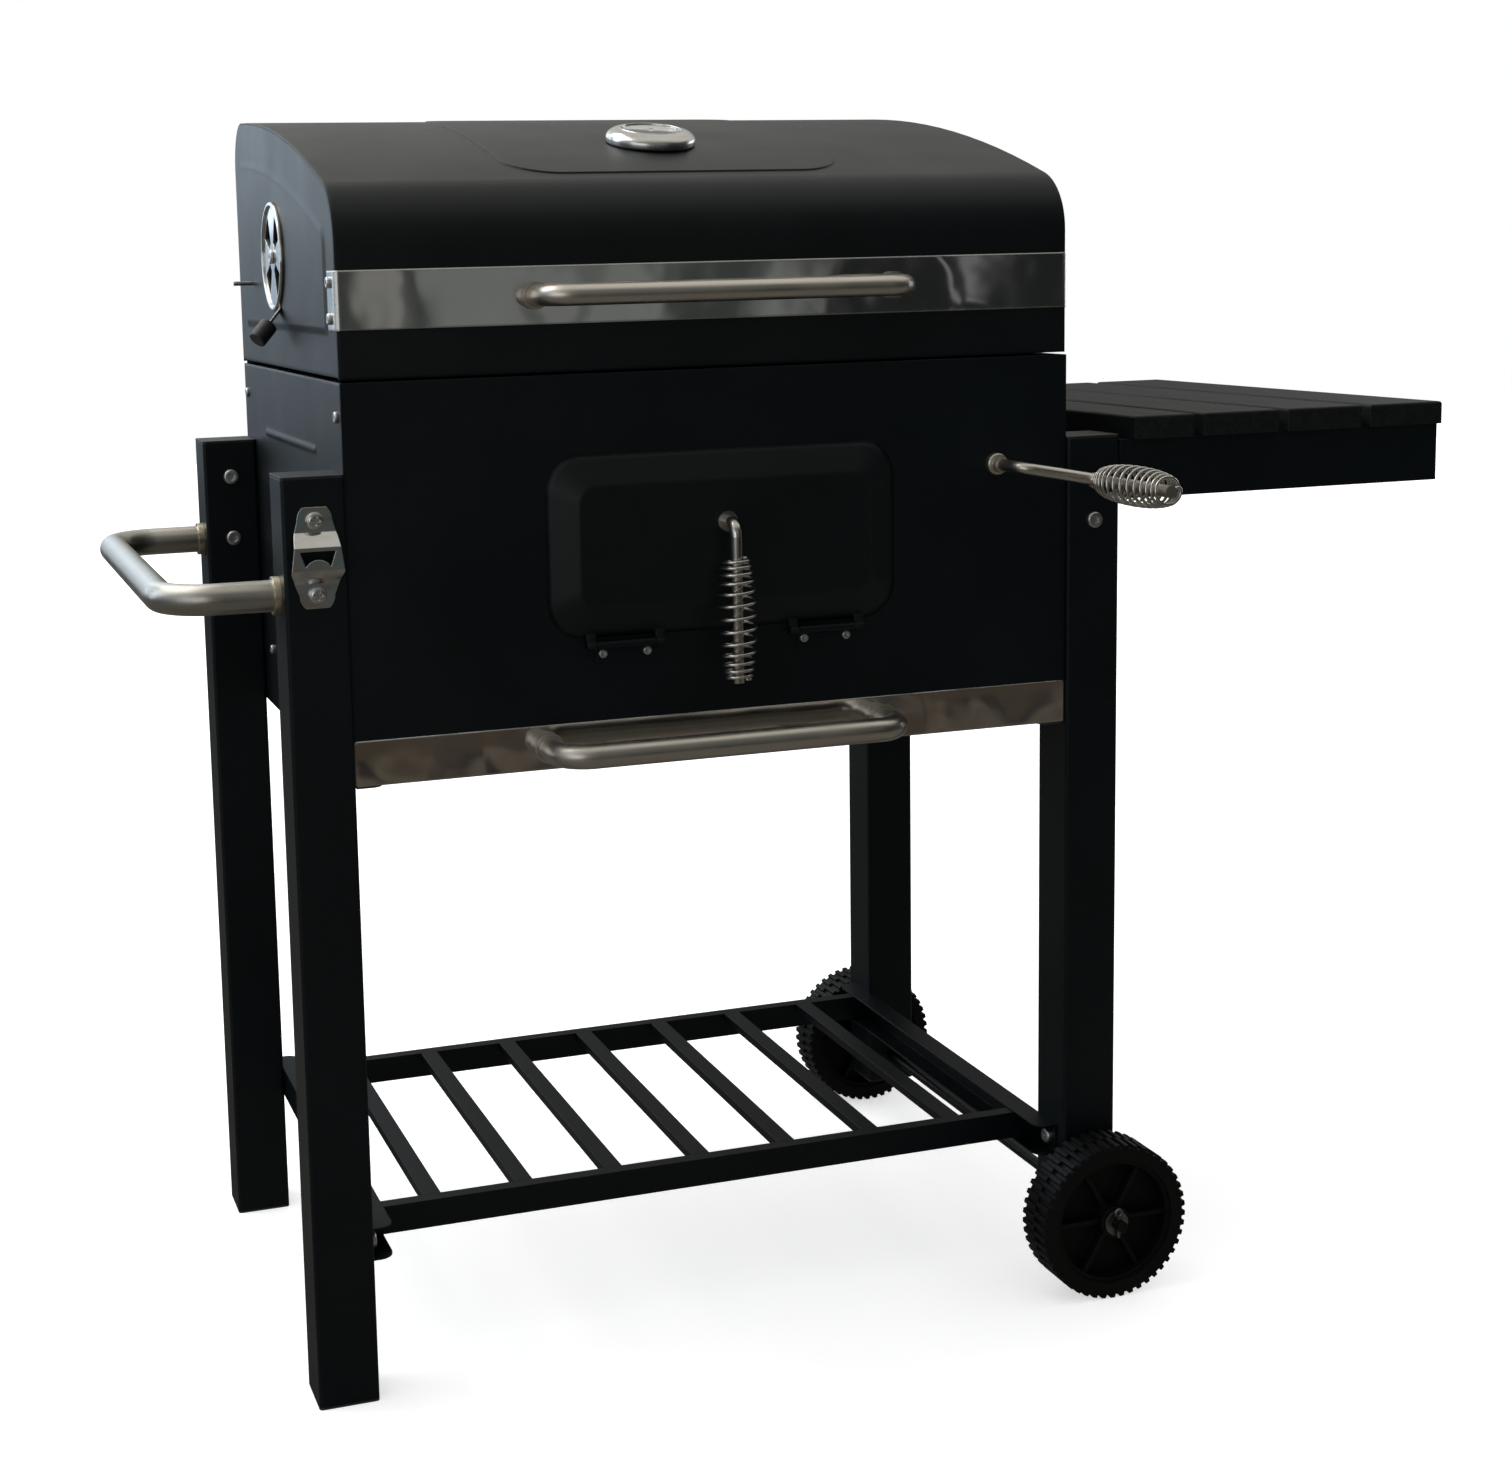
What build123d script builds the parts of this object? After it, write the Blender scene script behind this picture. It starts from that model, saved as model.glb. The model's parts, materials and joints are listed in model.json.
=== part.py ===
from build123d import *
import math
import os

os.makedirs("parts", exist_ok=True)

# Charcoal trolley grill. Millimetres, X to the right, Y to the back, Z up.
# Sizes are set out from the middle of the firebox front; save() moves all to the common origin.

# Firebox
sheet = 1.5
seam = 0.2
box_w = 628.0
box_d = 452.0
box_top = 830.0
box_h = 281.0
panel_flange = 32.0
top_flange = 12.0
side_bead_down = 59.0
side_bead_l = 232.0
side_bead_r = 8.0
side_bead_out = 1.0

# Ash drawer under the firebox
strip_h = 37.0
drawer_run = 0.4
tray_wall = 1.2
runner_w = 22.0
runner_up = 24.0
runner_screw_up = 18.0
drawer_handle_x = -8.0
drawer_handle_w = 294.0
drawer_handle_out = 48.0
drawer_tube_r = 10.0
drawer_bend = 24.0
ferrule_wall = 2.5

# Legs, axle and wheels
leg = 50.0
leg_wall = 1.5
leg_proud = 4.0
leg_below = 70.0
cap_h = 2.0
wheel_r = 70.0
wheel_w = 40.0
axle_r = 5.0
axle_drop = 28.0
wheel_gap = 6.0
right_bolt_down = 72.5
right_bolt_step = 34.0
bolt_r = 4.0
bolt_slack = 0.2

# Cart handle on the left legs
cart_down = 94.0
cart_reach = 101.0
cart_tube_r = 12.5
cart_bend = 42.0
cart_rest = 14.0
ferrule_t = 6.0
tube_wall = 1.5

# Side table on the right legs
table_up = 15.0
plank_t = 20.0
plank_w = 75.0
plank_first_w = 58.0
plank_gap = 10.0
plank_over = 5.0
plank_n = 4
table_gap = 12.0
apron_h = 51.0
apron_in = 5.0
apron_end = 1.0
apron_flange = 24.0

# Bottom shelf
shelf_top = 141.5
channel_h = 27.5
channel_w = 20.0
channel_end = 14.0
rail_h = 24.0
rail_t = 12.5
rail_wall = 1.5
rail_front_y = 53.0
rail_back_in = 36.0
slat_n = 7
slat_x = -6.0
slat_pitch = 81.0
slat_w = 16.0
slat_t = 8.0

# Lid
lid_gap = 2.0
lid_front = 3.0
lid_over = 3.0
lid_rise = 222.0
lid_front_h = 140.0
lid_crown_r = 1360.0
lid_front_r = 52.0
lid_back_r = 42.0
lid_press = 34.0
lid_press_slope = 6.0
crown_pad_x = -8.0
crown_pad_w = 296.0
crown_pad_y = 53.0
crown_pad_back = 77.0
crown_pad_r = 45.0
crown_pad_up = 1.0
lid_press_out = 1.5
lid_strip_h = 46.0
lid_strip_up = 38.0
lid_strip_wrap = 24.0
lid_handle_x = -1.5
lid_handle_w = 309.0
lid_handle_out = 40.0
lid_tube_r = 8.5
lid_bend = 22.0
hinge_x = 200.0
hinge_w = 56.0
hinge_out = 6.5
hinge_r = 5.0
hinge_pin_r = 2.5
hinge_fit = 0.05

# Thermometer on the lid
gauge_x = -4.5
gauge_in = 305.0
gauge_r = 39.0
gauge_h = 13.0
gauge_wall = 7.0
gauge_stem_r = 4.0
gauge_stem_l = 55.0

# Vents on the lid ends
vent_in = 199.0
vent_up = 97.0
vent_r = 47.0
vent_t = 1.2
vent_gap = 0.3
vent_pin_r = 3.0
vent_n = 4
vent_turn = -24.0
vent_slot_in = 13.0
vent_slot_out = 37.0
vent_slot_deg = 40.0
vent_slot_lap = 2.0
vent_rim_w = 4.0
vent_rim_h = 2.0
vent_tab_drop = 20.0
vent_tab_out = 14.0
knob_r = 8.0
knob_l = 20.0

# Charcoal door in the front panel
door_w = 304.0
door_up = 68.0
door_h = 149.0
door_corner = 30.0
door_deep = 12.0
door_bevel = 25.0
door_off = 0.4
door_lap = 12.0
door_hinge_x = 88.0
door_hinge_w = 50.0
door_axis_down = 5.5
door_axis_out = 5.0
door_knuckle_r = 3.6
door_pin_r = 1.6
door_ear = 8.0

# Spring-grip handles: the door pull and the height crank
grip_rod_r = 5.0
grip_bend = 11.0
wire_r = 1.3
spring_n = 13
spring_neck = 5.4
spring_belly = 5.1
spring_l = 98.0
spring_stretch = 0.42
spring_steps = 2
pull_x = -2.0
pull_up = 90.0
pull_out = 33.0
pull_bare = 32.0
crank_in = 67.0
crank_out = 46.0
crank_throw = 70.0
crank_tilt = -11.0
crank_bare = 18.0
rod_fit = 0.06
bush_r = 9.5

# Pan lift: pinions on the crank shaft, racks in guides on the right wall
gear_module = 2.0
gear_teeth = 18
gear_w = 12.0
gear_backlash = 0.5
gear_press = 20.0
lift_travel = 50.0
rack_y_in = 48.0
rack_w = 10.0
rack_t = 8.5
rack_under = 68.0
rack_over = 12.0
guide_fit = 0.35
guide_wall = 2.0
guide_up = 40.0
arm_h = 12.0
arm_up = 6.0
arm_wall = 1.5
pan_h = 45.0
pan_wall = 1.5
pan_gap = 20.0
pan_slots = 9

# Grates and the warming rack
ledge_down = 24.0
ledge_w = 20.0
ledge_h = 18.0
grate_wire_r = 2.5
grate_gap = 4.0
grate_pitch = 20.0
rack_pin_in = 80.0
rack_pin_up = 74.0
rack_pin_out = 19.0
rack_half = 62.0
rack_drop = 34.0
rack_wire_r = 2.0
rack_pitch = 28.0

# Bottle opener on the left front leg
opener_w = 42.0
opener_end = 10.5
opener_down = 63.0
opener_t = 2.0
opener_out = 9.0
opener_screw = 29.0

# Places that several pieces share
x_side = box_w / 2
x_leg = x_side + leg
leg_cx = x_side + leg / 2
leg_fy = -leg_proud
leg_by = box_d + leg_proud
leg_front_cy = leg_fy + leg / 2
leg_back_cy = leg_by - leg / 2
panel_low = box_top - box_h
strip_low = panel_low - strip_h
leg_top = box_top - leg_below
side_bead_z = box_top - side_bead_down
cart_z = leg_top - cart_down
table_top = leg_top + table_up
plank_len = leg_by - leg_fy + 2 * plank_over
rail_back_y = box_d - rail_back_in
opener_z = leg_top - opener_down
opener_h = 2 * (opener_screw + opener_end)
ledge_z = box_top - ledge_down
lid_low = box_top + lid_gap
lid_back = box_d + lid_over
gauge_y = lid_back - gauge_in
vent_y = lid_back - vent_in
vent_z = lid_low + vent_up
rack_pin_y = lid_back - rack_pin_in
rack_pin_z = lid_low + rack_pin_up
door_z0 = panel_low + door_up
door_axis_z = door_z0 - door_axis_down
pull_z = door_z0 + pull_up
pull_drop = spring_l + pull_bare
spring_end_r = grip_rod_r + spring_neck
spring_mid_r = spring_end_r + spring_belly
crank_x = x_side - crank_in
lift_free = 4.0
crank_z = ledge_z - lift_free - lift_travel - rack_over
crank_reach = spring_l + crank_bare
rack_low = crank_z - lift_travel - rack_under
rack_top = crank_z + rack_over
guide_low = rack_low + guide_up
axle_y0 = leg_fy - wheel_gap - wheel_w
axle_y1 = leg_by + wheel_gap + wheel_w
axle_tail = 12.0
plank_x0 = x_leg + table_gap
table_x1 = plank_x0 + plank_first_w + (plank_n - 1) * (plank_w + plank_gap)
cart_x0 = -x_leg - cart_reach
grip_tip = crank_out + crank_reach
x_mid = (cart_x0 + table_x1) / 2
y_mid = (axle_y1 + axle_tail - grip_tip) / 2


def save(name, *shapes):
    """Write one node: every solid in it, moved to the common origin."""
    solids = [s for shape in shapes for s in shape.solids()]
    moved = [Pos(-x_mid, -y_mid, 0) * s for s in solids]
    export_step(moved[0] if len(moved) == 1 else Compound(moved), "parts/" + name + ".step")


def block(x, y, z):
    """A box between pairs of limits."""
    size = Box(x[1] - x[0], y[1] - y[0], z[1] - z[0])
    return Pos((x[0] + x[1]) / 2, (y[0] + y[1]) / 2, (z[0] + z[1]) / 2) * size


def bar(p, q, r):
    """A round bar from p to q."""
    run = Vector(*q) - Vector(*p)
    return Plane(origin=p, z_dir=run) * Cylinder(r, run.length, align=(Align.CENTER, Align.CENTER, Align.MIN))


def pipe(points, bend, r, bore=0.0):
    """A bent tube or, with no bore, a bent rod."""
    path = FilletPolyline(*points, radius=bend)
    start = Plane(origin=path @ 0, z_dir=path % 0)
    body = sweep(start * Circle(r), path=path)
    if bore > 0:
        body -= sweep(start * Circle(bore), path=path)
    return body


def ring(p, q, r, bore):
    """A washer or sleeve from p to q."""
    return bar(p, q, r) - bar(p, q, bore)


def bolt(face, out, r, grip, head_r, head_h):
    """A domed-head bolt: its head stands on face along out, its shank runs back by grip."""
    seat = Plane(origin=face, z_dir=out)
    low = (Align.CENTER, Align.CENTER, Align.MIN)
    head = Cylinder(head_r, head_h, align=low)
    head = fillet(head.edges().sort_by(Axis.Z)[-1], min(head_h, head_r) * 0.45)
    head -= extrude(Pos(0, 0, head_h * 0.45) * RegularPolygon(head_r * 0.5, 6), head_h)
    shank = Pos(0, 0, -grip) * Cylinder(r, grip, align=low)
    return seat * (head + shank)


def mirrored(shape):
    """The same piece on the other side of the grill."""
    return mirror(shape, Plane.YZ)


def both(shape):
    """A piece and its mirror image."""
    return [shape, mirrored(shape)]


# Bolt places that the legs, panels and fixings all use
frame_bolt_z = [leg_top - leg / 2, panel_low + 41.0]
opener_bolt_z = [opener_z + opener_screw, opener_z - opener_screw]
right_bolt_z = [leg_top - right_bolt_down + right_bolt_step, leg_top - right_bolt_down]
cross_bolt_z = {-1: opener_bolt_z, 1: right_bolt_z}
shelf_bolt_z = shelf_top - channel_h / 2
panel_screw_z = box_top - 27.0
panel_screw_in = 16.0
screw_r = 2.0
bolt_head = (7.0, 5.0)
cross_head = (7.0, 4.0)
screw_head = (4.5, 2.6)
strap_head = (3.7, 2.4)
rivet_head = (6.0, 2.5)
bolt_tail = 9.0
cross_tail = 3.0
screw_tail = 2.0

# Legs: square tube, the left pair on the ground, the right pair ending at the axle
axle_z = wheel_r


def leg_post(x, y, z0, cuts):
    """One square tube with its holes."""
    outer = extrude(Pos(x, y, z0) * RectangleRounded(leg, leg, 2 * leg_wall), leg_top - cap_h - z0)
    outer -= extrude(Pos(x, y, z0) * Rectangle(leg - 2 * leg_wall, leg - 2 * leg_wall), leg_top - z0)
    for cut in cuts:
        outer -= cut
    return outer


def frame_holes(side, y):
    """Holes through a leg's inner wall and the panels beside it."""
    reach = 3 * leg_wall + 3 * sheet
    return [bar((side * (x_side - reach), y, z), (side * (x_side + reach), y, z), bolt_r + bolt_slack)
            for z in frame_bolt_z]


def shelf_holes(side, y):
    """Holes for the bolt that holds a shelf channel."""
    reach = 3 * leg_wall + 3 * sheet
    a = (side * (x_side - reach), y, shelf_bolt_z)
    b = (side * (x_side + reach), y, shelf_bolt_z)
    return [bar(a, b, bolt_r + bolt_slack)]


def cross_holes(side, y):
    """Holes right through a leg from front to back."""
    return [bar((side * leg_cx, y - leg, z), (side * leg_cx, y + leg, z), bolt_r + bolt_slack)
            for z in cross_bolt_z[side]]


def cart_hole(y):
    """The hole that takes one end of the cart handle."""
    a = (-x_leg - leg_wall * 2, y, cart_z)
    b = (-x_leg + leg_wall * 2, y, cart_z)
    return [bar(a, b, cart_tube_r + bolt_slack)]


axle_hole = bar((leg_cx, leg_fy - leg, axle_z), (leg_cx, leg_by + leg, axle_z), axle_r + bolt_slack)
table_bolt_z = [table_top - plank_t - 16.0, table_top - plank_t - 38.0]
table_holes = [bar((x_leg - 3 * leg_wall, y, z), (x_leg + 3 * leg_wall, y, z), bolt_r + bolt_slack)
               for y in (leg_front_cy, leg_back_cy) for z in table_bolt_z]

left_legs = []
right_legs = []
for y in (leg_front_cy, leg_back_cy):
    holes = frame_holes(-1, y) + shelf_holes(-1, y) + cross_holes(-1, y) + cart_hole(y)
    left_legs.append(leg_post(-leg_cx, y, cap_h, holes))
    holes = frame_holes(1, y) + shelf_holes(1, y) + cross_holes(1, y) + table_holes + [axle_hole]
    right_legs.append(leg_post(leg_cx, y, axle_z - axle_drop + cap_h, holes))
save("legs_left", *left_legs)
save("legs_right", *right_legs)

# Caps close the tube tops and glides the two feet; each has a plug inside the tube
plug = leg - 2 * leg_wall - 2 * bolt_slack
plug_l = 10.0


def leg_cap(x, y, z, way):
    """A flat cap at z with a plug that reaches on into the tube along way."""
    cap = extrude(Pos(x, y, z) * RectangleRounded(leg, leg, 2 * leg_wall), way * cap_h)
    return cap + extrude(Pos(x, y, z + way * cap_h) * Rectangle(plug, plug), way * plug_l)


caps = [leg_cap(side * leg_cx, y, leg_top, -1) for side in (-1, 1) for y in (leg_front_cy, leg_back_cy)]
for y in (leg_front_cy, leg_back_cy):
    caps += [leg_cap(-leg_cx, y, 0, 1), leg_cap(leg_cx, y, axle_z - axle_drop, 1)]
save("leg_caps", *caps)

# Firebox front panel: a sheet with bent side and top flanges, the door opening and the crank hole
door_mid_z = door_z0 + door_h / 2
open_w = door_w - 2 * door_lap
open_h = door_h - 2 * door_lap
front_plane = Plane(origin=(0, 0, 0), x_dir=(1, 0, 0), z_dir=(0, -1, 0))
hinge_screws = [(sx * door_hinge_x + dx, door_axis_z - 7.5) for sx in (-1, 1)
                for dx in (6.0 - door_hinge_w / 2, door_hinge_w / 2 - 6.0)]
flange_x = x_side - sheet - seam
front = block((-x_side, x_side), (0, sheet), (panel_low, box_top))
opening = front_plane * Pos(0, door_mid_z) * RectangleRounded(open_w, open_h, door_corner / 2)
front -= extrude(opening, -sheet * 2)
for side in (-1, 1):
    x_pair = sorted((side * flange_x, side * (flange_x - sheet)))
    front += block(x_pair, (0, panel_flange), (panel_low, box_top))
top_reach = flange_x - top_flange - sheet
front += block((-top_reach, top_reach), (0, top_flange), (box_top - sheet, box_top))
bush_hole_r = bush_r * 0.7 + bolt_slack
front -= bar((crank_x, -sheet, crank_z), (crank_x, 2 * sheet, crank_z), bush_hole_r)
for x, z in hinge_screws:
    front -= bar((x, -sheet, z), (x, 2 * sheet, z), screw_r + bolt_slack)
screw_spots = [(panel_screw_in, panel_screw_z), (box_d - panel_screw_in, panel_screw_z)]
side_drill = []
for side in (-1, 1):
    side_drill += frame_holes(side, leg_front_cy) + frame_holes(side, leg_back_cy)
    for y, z in screw_spots:
        a = (side * (x_side - 5 * sheet), y, z)
        side_drill.append(bar(a, (side * (x_side + 5 * sheet), y, z), screw_r + bolt_slack))
for cut in side_drill:
    front -= cut
save("front_panel", front)

# Back panel, bent forward at both sides
rear = block((-x_side, x_side), (box_d - sheet, box_d), (strip_low, box_top))
for side in (-1, 1):
    x_pair = sorted((side * flange_x, side * (flange_x - sheet)))
    rear += block(x_pair, (box_d - panel_flange, box_d), (panel_low, box_top))
rear += block((-top_reach, top_reach), (box_d - top_flange, box_d), (box_top - sheet, box_top))
rear -= bar((crank_x, box_d - 2 * sheet, crank_z), (crank_x, box_d + sheet, crank_z), bush_hole_r)
for cut in side_drill:
    rear -= cut
save("back_panel", rear)

# Side panels with a pressed bead above the legs and a bent top edge
side_panel = block((-x_side, -x_side + sheet), (sheet + seam, box_d - sheet - seam), (strip_low, box_top))
side_panel += block((-x_side, -x_side + top_flange), (panel_flange + seam, box_d - panel_flange - seam),
                    (box_top - sheet, box_top))
bead_x = -x_side - side_bead_out + side_bead_r
bead_ends = (box_d / 2 - side_bead_l / 2, box_d / 2 + side_bead_l / 2)


def side_bead(r):
    """A long round-ended bar along the bead, of radius r."""
    body = bar((bead_x, bead_ends[0], side_bead_z), (bead_x, bead_ends[1], side_bead_z), r)
    for y in bead_ends:
        body += Pos(bead_x, y, side_bead_z) * Sphere(r)
    return body


bead_room = block((-x_side - side_bead_r, -x_side + sheet), (0, box_d), (strip_low, box_top))
side_panel += side_bead(side_bead_r) & bead_room
side_panel -= side_bead(side_bead_r - sheet)
runner_hole_y = [box_d * 0.2, box_d * 0.79]
runner_hole_z = panel_low + runner_screw_up
runner_holes = [bar((-x_side - 5, y, runner_hole_z), (-x_side + 9, y, runner_hole_z), screw_r + bolt_slack)
                for y in runner_hole_y]
for cut in side_drill + runner_holes:
    side_panel -= cut
save("side_panels", *both(side_panel))

# Screws of the panels and bolts of the legs, saved once all the pieces they hold are drawn
panel_screws = []
for y, z in screw_spots:
    grip = 2 * sheet + seam + screw_tail
    panel_screws += both(bolt((-x_side, y, z), (-1, 0, 0), screw_r, grip, *screw_head))
frame_bolts = []
for y in (leg_front_cy, leg_back_cy):
    for z in frame_bolt_z:
        inner = -flange_x + sheet
        grip = 2 * sheet + seam + leg_wall + bolt_tail
        frame_bolts += both(bolt((inner, y, z), (1, 0, 0), bolt_r, grip, *bolt_head))
cross_bolts = []
for side in (-1, 1):
    for y in (leg_front_cy, leg_back_cy):
        for z in cross_bolt_z[side]:
            if side < 0 and y == leg_front_cy:
                continue
            face = (side * leg_cx, y - leg / 2, z)
            cross_bolts.append(bolt(face, (0, -1, 0), bolt_r, leg + cross_tail, *cross_head))

# Bottle opener: one pressed strip with a raised bridge, a window and a rounded tongue
open_y = leg_fy
step = opener_h * 0.14
z_top = opener_z + opener_h / 2
rise_top = opener_z + opener_screw - 9.0
rise_low = opener_z - opener_screw + 9.0
strip_pts = [(open_y, z_top), (open_y, rise_top), (open_y - opener_out, rise_top - step),
             (open_y - opener_out, rise_low + step), (open_y, rise_low), (open_y, 2 * opener_z - z_top)]
skin_pts = [(y - opener_t, z) for y, z in reversed(strip_pts)]
profile = Plane.YZ * make_face(Polyline(*strip_pts, *skin_pts, close=True))
opener = Pos(-leg_cx - opener_w / 2, 0, 0) * extrude(profile, opener_w)
lug_r = opener_w / 3
neck = (opener_w * 0.41, opener_screw - 12.0)
flare = (opener_w / 2, -opener_screw + 18.0)
shape_pts = [(-lug_r, opener_screw), (-neck[0], neck[1]), (-flare[0], flare[1]), (-lug_r, -opener_screw),
             (lug_r, -opener_screw), flare, neck, (lug_r, opener_screw)]
outline = make_face(Polyline(*shape_pts, close=True))
outline += Pos(0, opener_screw) * Circle(lug_r) + Pos(0, -opener_screw) * Circle(lug_r)
opener &= extrude(front_plane * Pos(-leg_cx, opener_z) * outline, 60, both=True)
tongue_r = opener_w * 0.27
window = make_face(Polyline((-lug_r, 6), (lug_r, 6), (lug_r * 0.65, -8), (-lug_r * 0.65, -8), close=True))
window -= Pos(0, -0.5 - tongue_r) * Circle(tongue_r)
opener -= extrude(front_plane * Pos(-leg_cx, opener_z) * window, 60, both=True)
for z in opener_bolt_z:
    opener -= bar((-leg_cx, leg_fy - 2 * leg, z), (-leg_cx, leg_fy + leg, z), bolt_r + bolt_slack)
save("bottle_opener", opener)
for z in opener_bolt_z:
    face = (-leg_cx, leg_fy - opener_t, z)
    cross_bolts.append(bolt(face, (0, -1, 0), bolt_r, leg + opener_t + cross_tail, *cross_head))
save("cross_bolts", *cross_bolts)

# Cart handle: one bent tube let into both left legs, with a ferrule at each
cart_in = -x_side - cart_rest
cart_out = cart_x0 + cart_tube_r
cart_pts = [(cart_in, leg_front_cy, cart_z), (cart_out, leg_front_cy, cart_z),
            (cart_out, leg_back_cy, cart_z), (cart_in, leg_back_cy, cart_z)]
cart = pipe(cart_pts, cart_bend, cart_tube_r, cart_tube_r - tube_wall)
for y in (leg_front_cy, leg_back_cy):
    for cut in cross_holes(-1, y):
        cart -= cut
save("cart_handle", cart)
save("cart_ferrules", *[ring((-x_leg - ferrule_t, y, cart_z), (-x_leg, y, cart_z), cart_tube_r + ferrule_wall,
                             cart_tube_r + seam) for y in (leg_front_cy, leg_back_cy)])

# Side table: planks from front to back on a bent sheet apron
plank_y0 = (leg_fy + leg_by - plank_len) / 2
plank_y1 = plank_y0 + plank_len
plank_low = table_top - plank_t
x = plank_x0
plank_spots = []
planks = []
for k in range(plank_n):
    width = plank_first_w if k == 0 else plank_w
    plank = block((x, x + width), (plank_y0, plank_y1), (plank_low, table_top))
    planks.append(fillet(plank.edges().group_by(Axis.Z)[-1], 2.5))
    plank_spots.append(x + width / 2)
    x += width + plank_gap
save("table_planks", *planks)
apron_x1 = table_x1 - apron_end
apron_y = (plank_y0 + apron_in, plank_y1 - apron_in)
apron_z = (plank_low - apron_h, plank_low)
apron = block((x_leg, apron_x1), apron_y, apron_z)
apron -= block((x_leg - sheet, apron_x1 - sheet), (apron_y[0] + sheet, apron_y[1] - sheet),
               (apron_z[0] - sheet, plank_low + sheet))
apron_deck = block((x_leg, apron_x1), apron_y, (plank_low - sheet, plank_low))
apron_deck -= block((x_leg - sheet, apron_x1 - apron_flange),
                    (apron_y[0] + apron_flange, apron_y[1] - apron_flange), (plank_low - 9, plank_low + 9))
apron += apron_deck
apron += block((x_leg, x_leg + sheet), (apron_y[0], leg_fy + leg - 4.0), apron_z)
apron += block((x_leg, x_leg + sheet), (leg_by - leg + 4.0, apron_y[1]), apron_z)
for cut in table_holes:
    apron -= cut
table_screws = []
for spot in plank_spots:
    for y in (apron_y[0] + apron_flange / 2, apron_y[1] - apron_flange / 2):
        apron -= bar((spot, y, plank_low - 5), (spot, y, plank_low + 5), screw_r + bolt_slack)
        table_screws.append(bolt((spot, y, plank_low - sheet), (0, 0, -1), screw_r, sheet, *screw_head))
save("table_apron", apron)
frame_bolts += [bolt((x_leg + sheet, y, z), (1, 0, 0), bolt_r, sheet + leg_wall + bolt_tail, *bolt_head)
                for y in (leg_front_cy, leg_back_cy) for z in table_bolt_z]

# Bottom shelf: two channels bolted to the legs, two box rails between their flanges, seven slats
channel_low = shelf_top - channel_h
channel_y = (leg_fy + channel_end, leg_by - channel_end)
channel_face = Pos(-x_side + channel_w / 2, (channel_y[0] + channel_y[1]) / 2, channel_low)
channel = extrude(channel_face * Rectangle(channel_w, channel_y[1] - channel_y[0]), channel_h)
free_edges = channel.edges().filter_by(Axis.Z).sort_by(Axis.X)[-2:]
channel = fillet(free_edges, channel_w * 0.6)
channel -= block((-x_side + sheet, -x_side + 2 * channel_w), (channel_y[0] - 1, channel_y[1] + 1),
                 (channel_low + sheet, shelf_top - sheet))
for y in (leg_front_cy, leg_back_cy):
    for cut in shelf_holes(-1, y):
        channel -= cut
save("shelf_channels", *both(channel))
rail_top = shelf_top - sheet
rail_low = rail_top - rail_h
rail_x = x_side - sheet
rails = []
for y0 in (rail_front_y, rail_back_y - rail_t):
    rail = block((-rail_x, rail_x), (y0, y0 + rail_t), (rail_low, rail_top))
    rail -= block((-rail_x - 1, rail_x + 1), (y0 + rail_wall, y0 + rail_t - rail_wall),
                  (rail_low + rail_wall, rail_top - rail_wall))
    rails.append(rail)
save("shelf_rails", *rails)
slat_y = (rail_front_y + rail_t, rail_back_y - rail_t)
slats = []
for k in range(slat_n):
    x = slat_x + (k - (slat_n - 1) / 2) * slat_pitch
    slats.append(block((x - slat_w / 2, x + slat_w / 2), slat_y, (rail_top - slat_t, rail_top)))
save("shelf_slats", *slats)
for y in (leg_front_cy, leg_back_cy):
    face = (-x_side + sheet, y, shelf_bolt_z)
    frame_bolts += both(bolt(face, (1, 0, 0), bolt_r, sheet + leg_wall + bolt_tail, *bolt_head))
save("frame_bolts", *frame_bolts)

# Axle through the right legs, with washers and split pins outside the wheels
washer_t = 2.0
washer_r = 11.0
spacer_r = 9.0
axle_ends = (axle_y0 - axle_tail, axle_y1 + axle_tail)
pin_y = [axle_y0 - washer_t - seam - 2.5, axle_y1 + washer_t + seam + 2.5]
axle = bar((leg_cx, axle_ends[0], axle_z), (leg_cx, axle_ends[1], axle_z), axle_r)
split_r = 1.5
for y in pin_y:
    axle -= bar((leg_cx, y, axle_z - 2 * axle_r), (leg_cx, y, axle_z + 2 * axle_r), split_r + rod_fit)
save("axle", axle)
fittings = []
for y, way in ((axle_y0, -1), (axle_y1, 1)):
    near = (leg_cx, y + way * seam, axle_z)
    far = (leg_cx, y + way * (seam + washer_t), axle_z)
    fittings.append(ring(near, far, washer_r, axle_r + rod_fit))
for y, way in ((leg_fy, -1), (leg_by, 1)):
    far = (leg_cx, y + way * (wheel_gap - seam), axle_z)
    fittings.append(ring((leg_cx, y, axle_z), far, spacer_r, axle_r + rod_fit))
for y in pin_y:
    pin = bar((leg_cx, y, axle_z - axle_r - 7), (leg_cx, y, axle_z + axle_r + 3), split_r)
    fittings.append(pin + Pos(leg_cx, y, axle_z + axle_r + 5.5) * Rot(90, 0, 0) * Torus(3.0, split_r))
save("axle_fittings", *fittings)

# Wheels: moulded in one piece, a ribbed disc with a hub tube and a lugged tread
rim_r = wheel_r - 14.0
lug_h = 3.0
lug_n = 48
lug_rows = 2
lug_edge = 0.5
hub_r = 14.0


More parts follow.
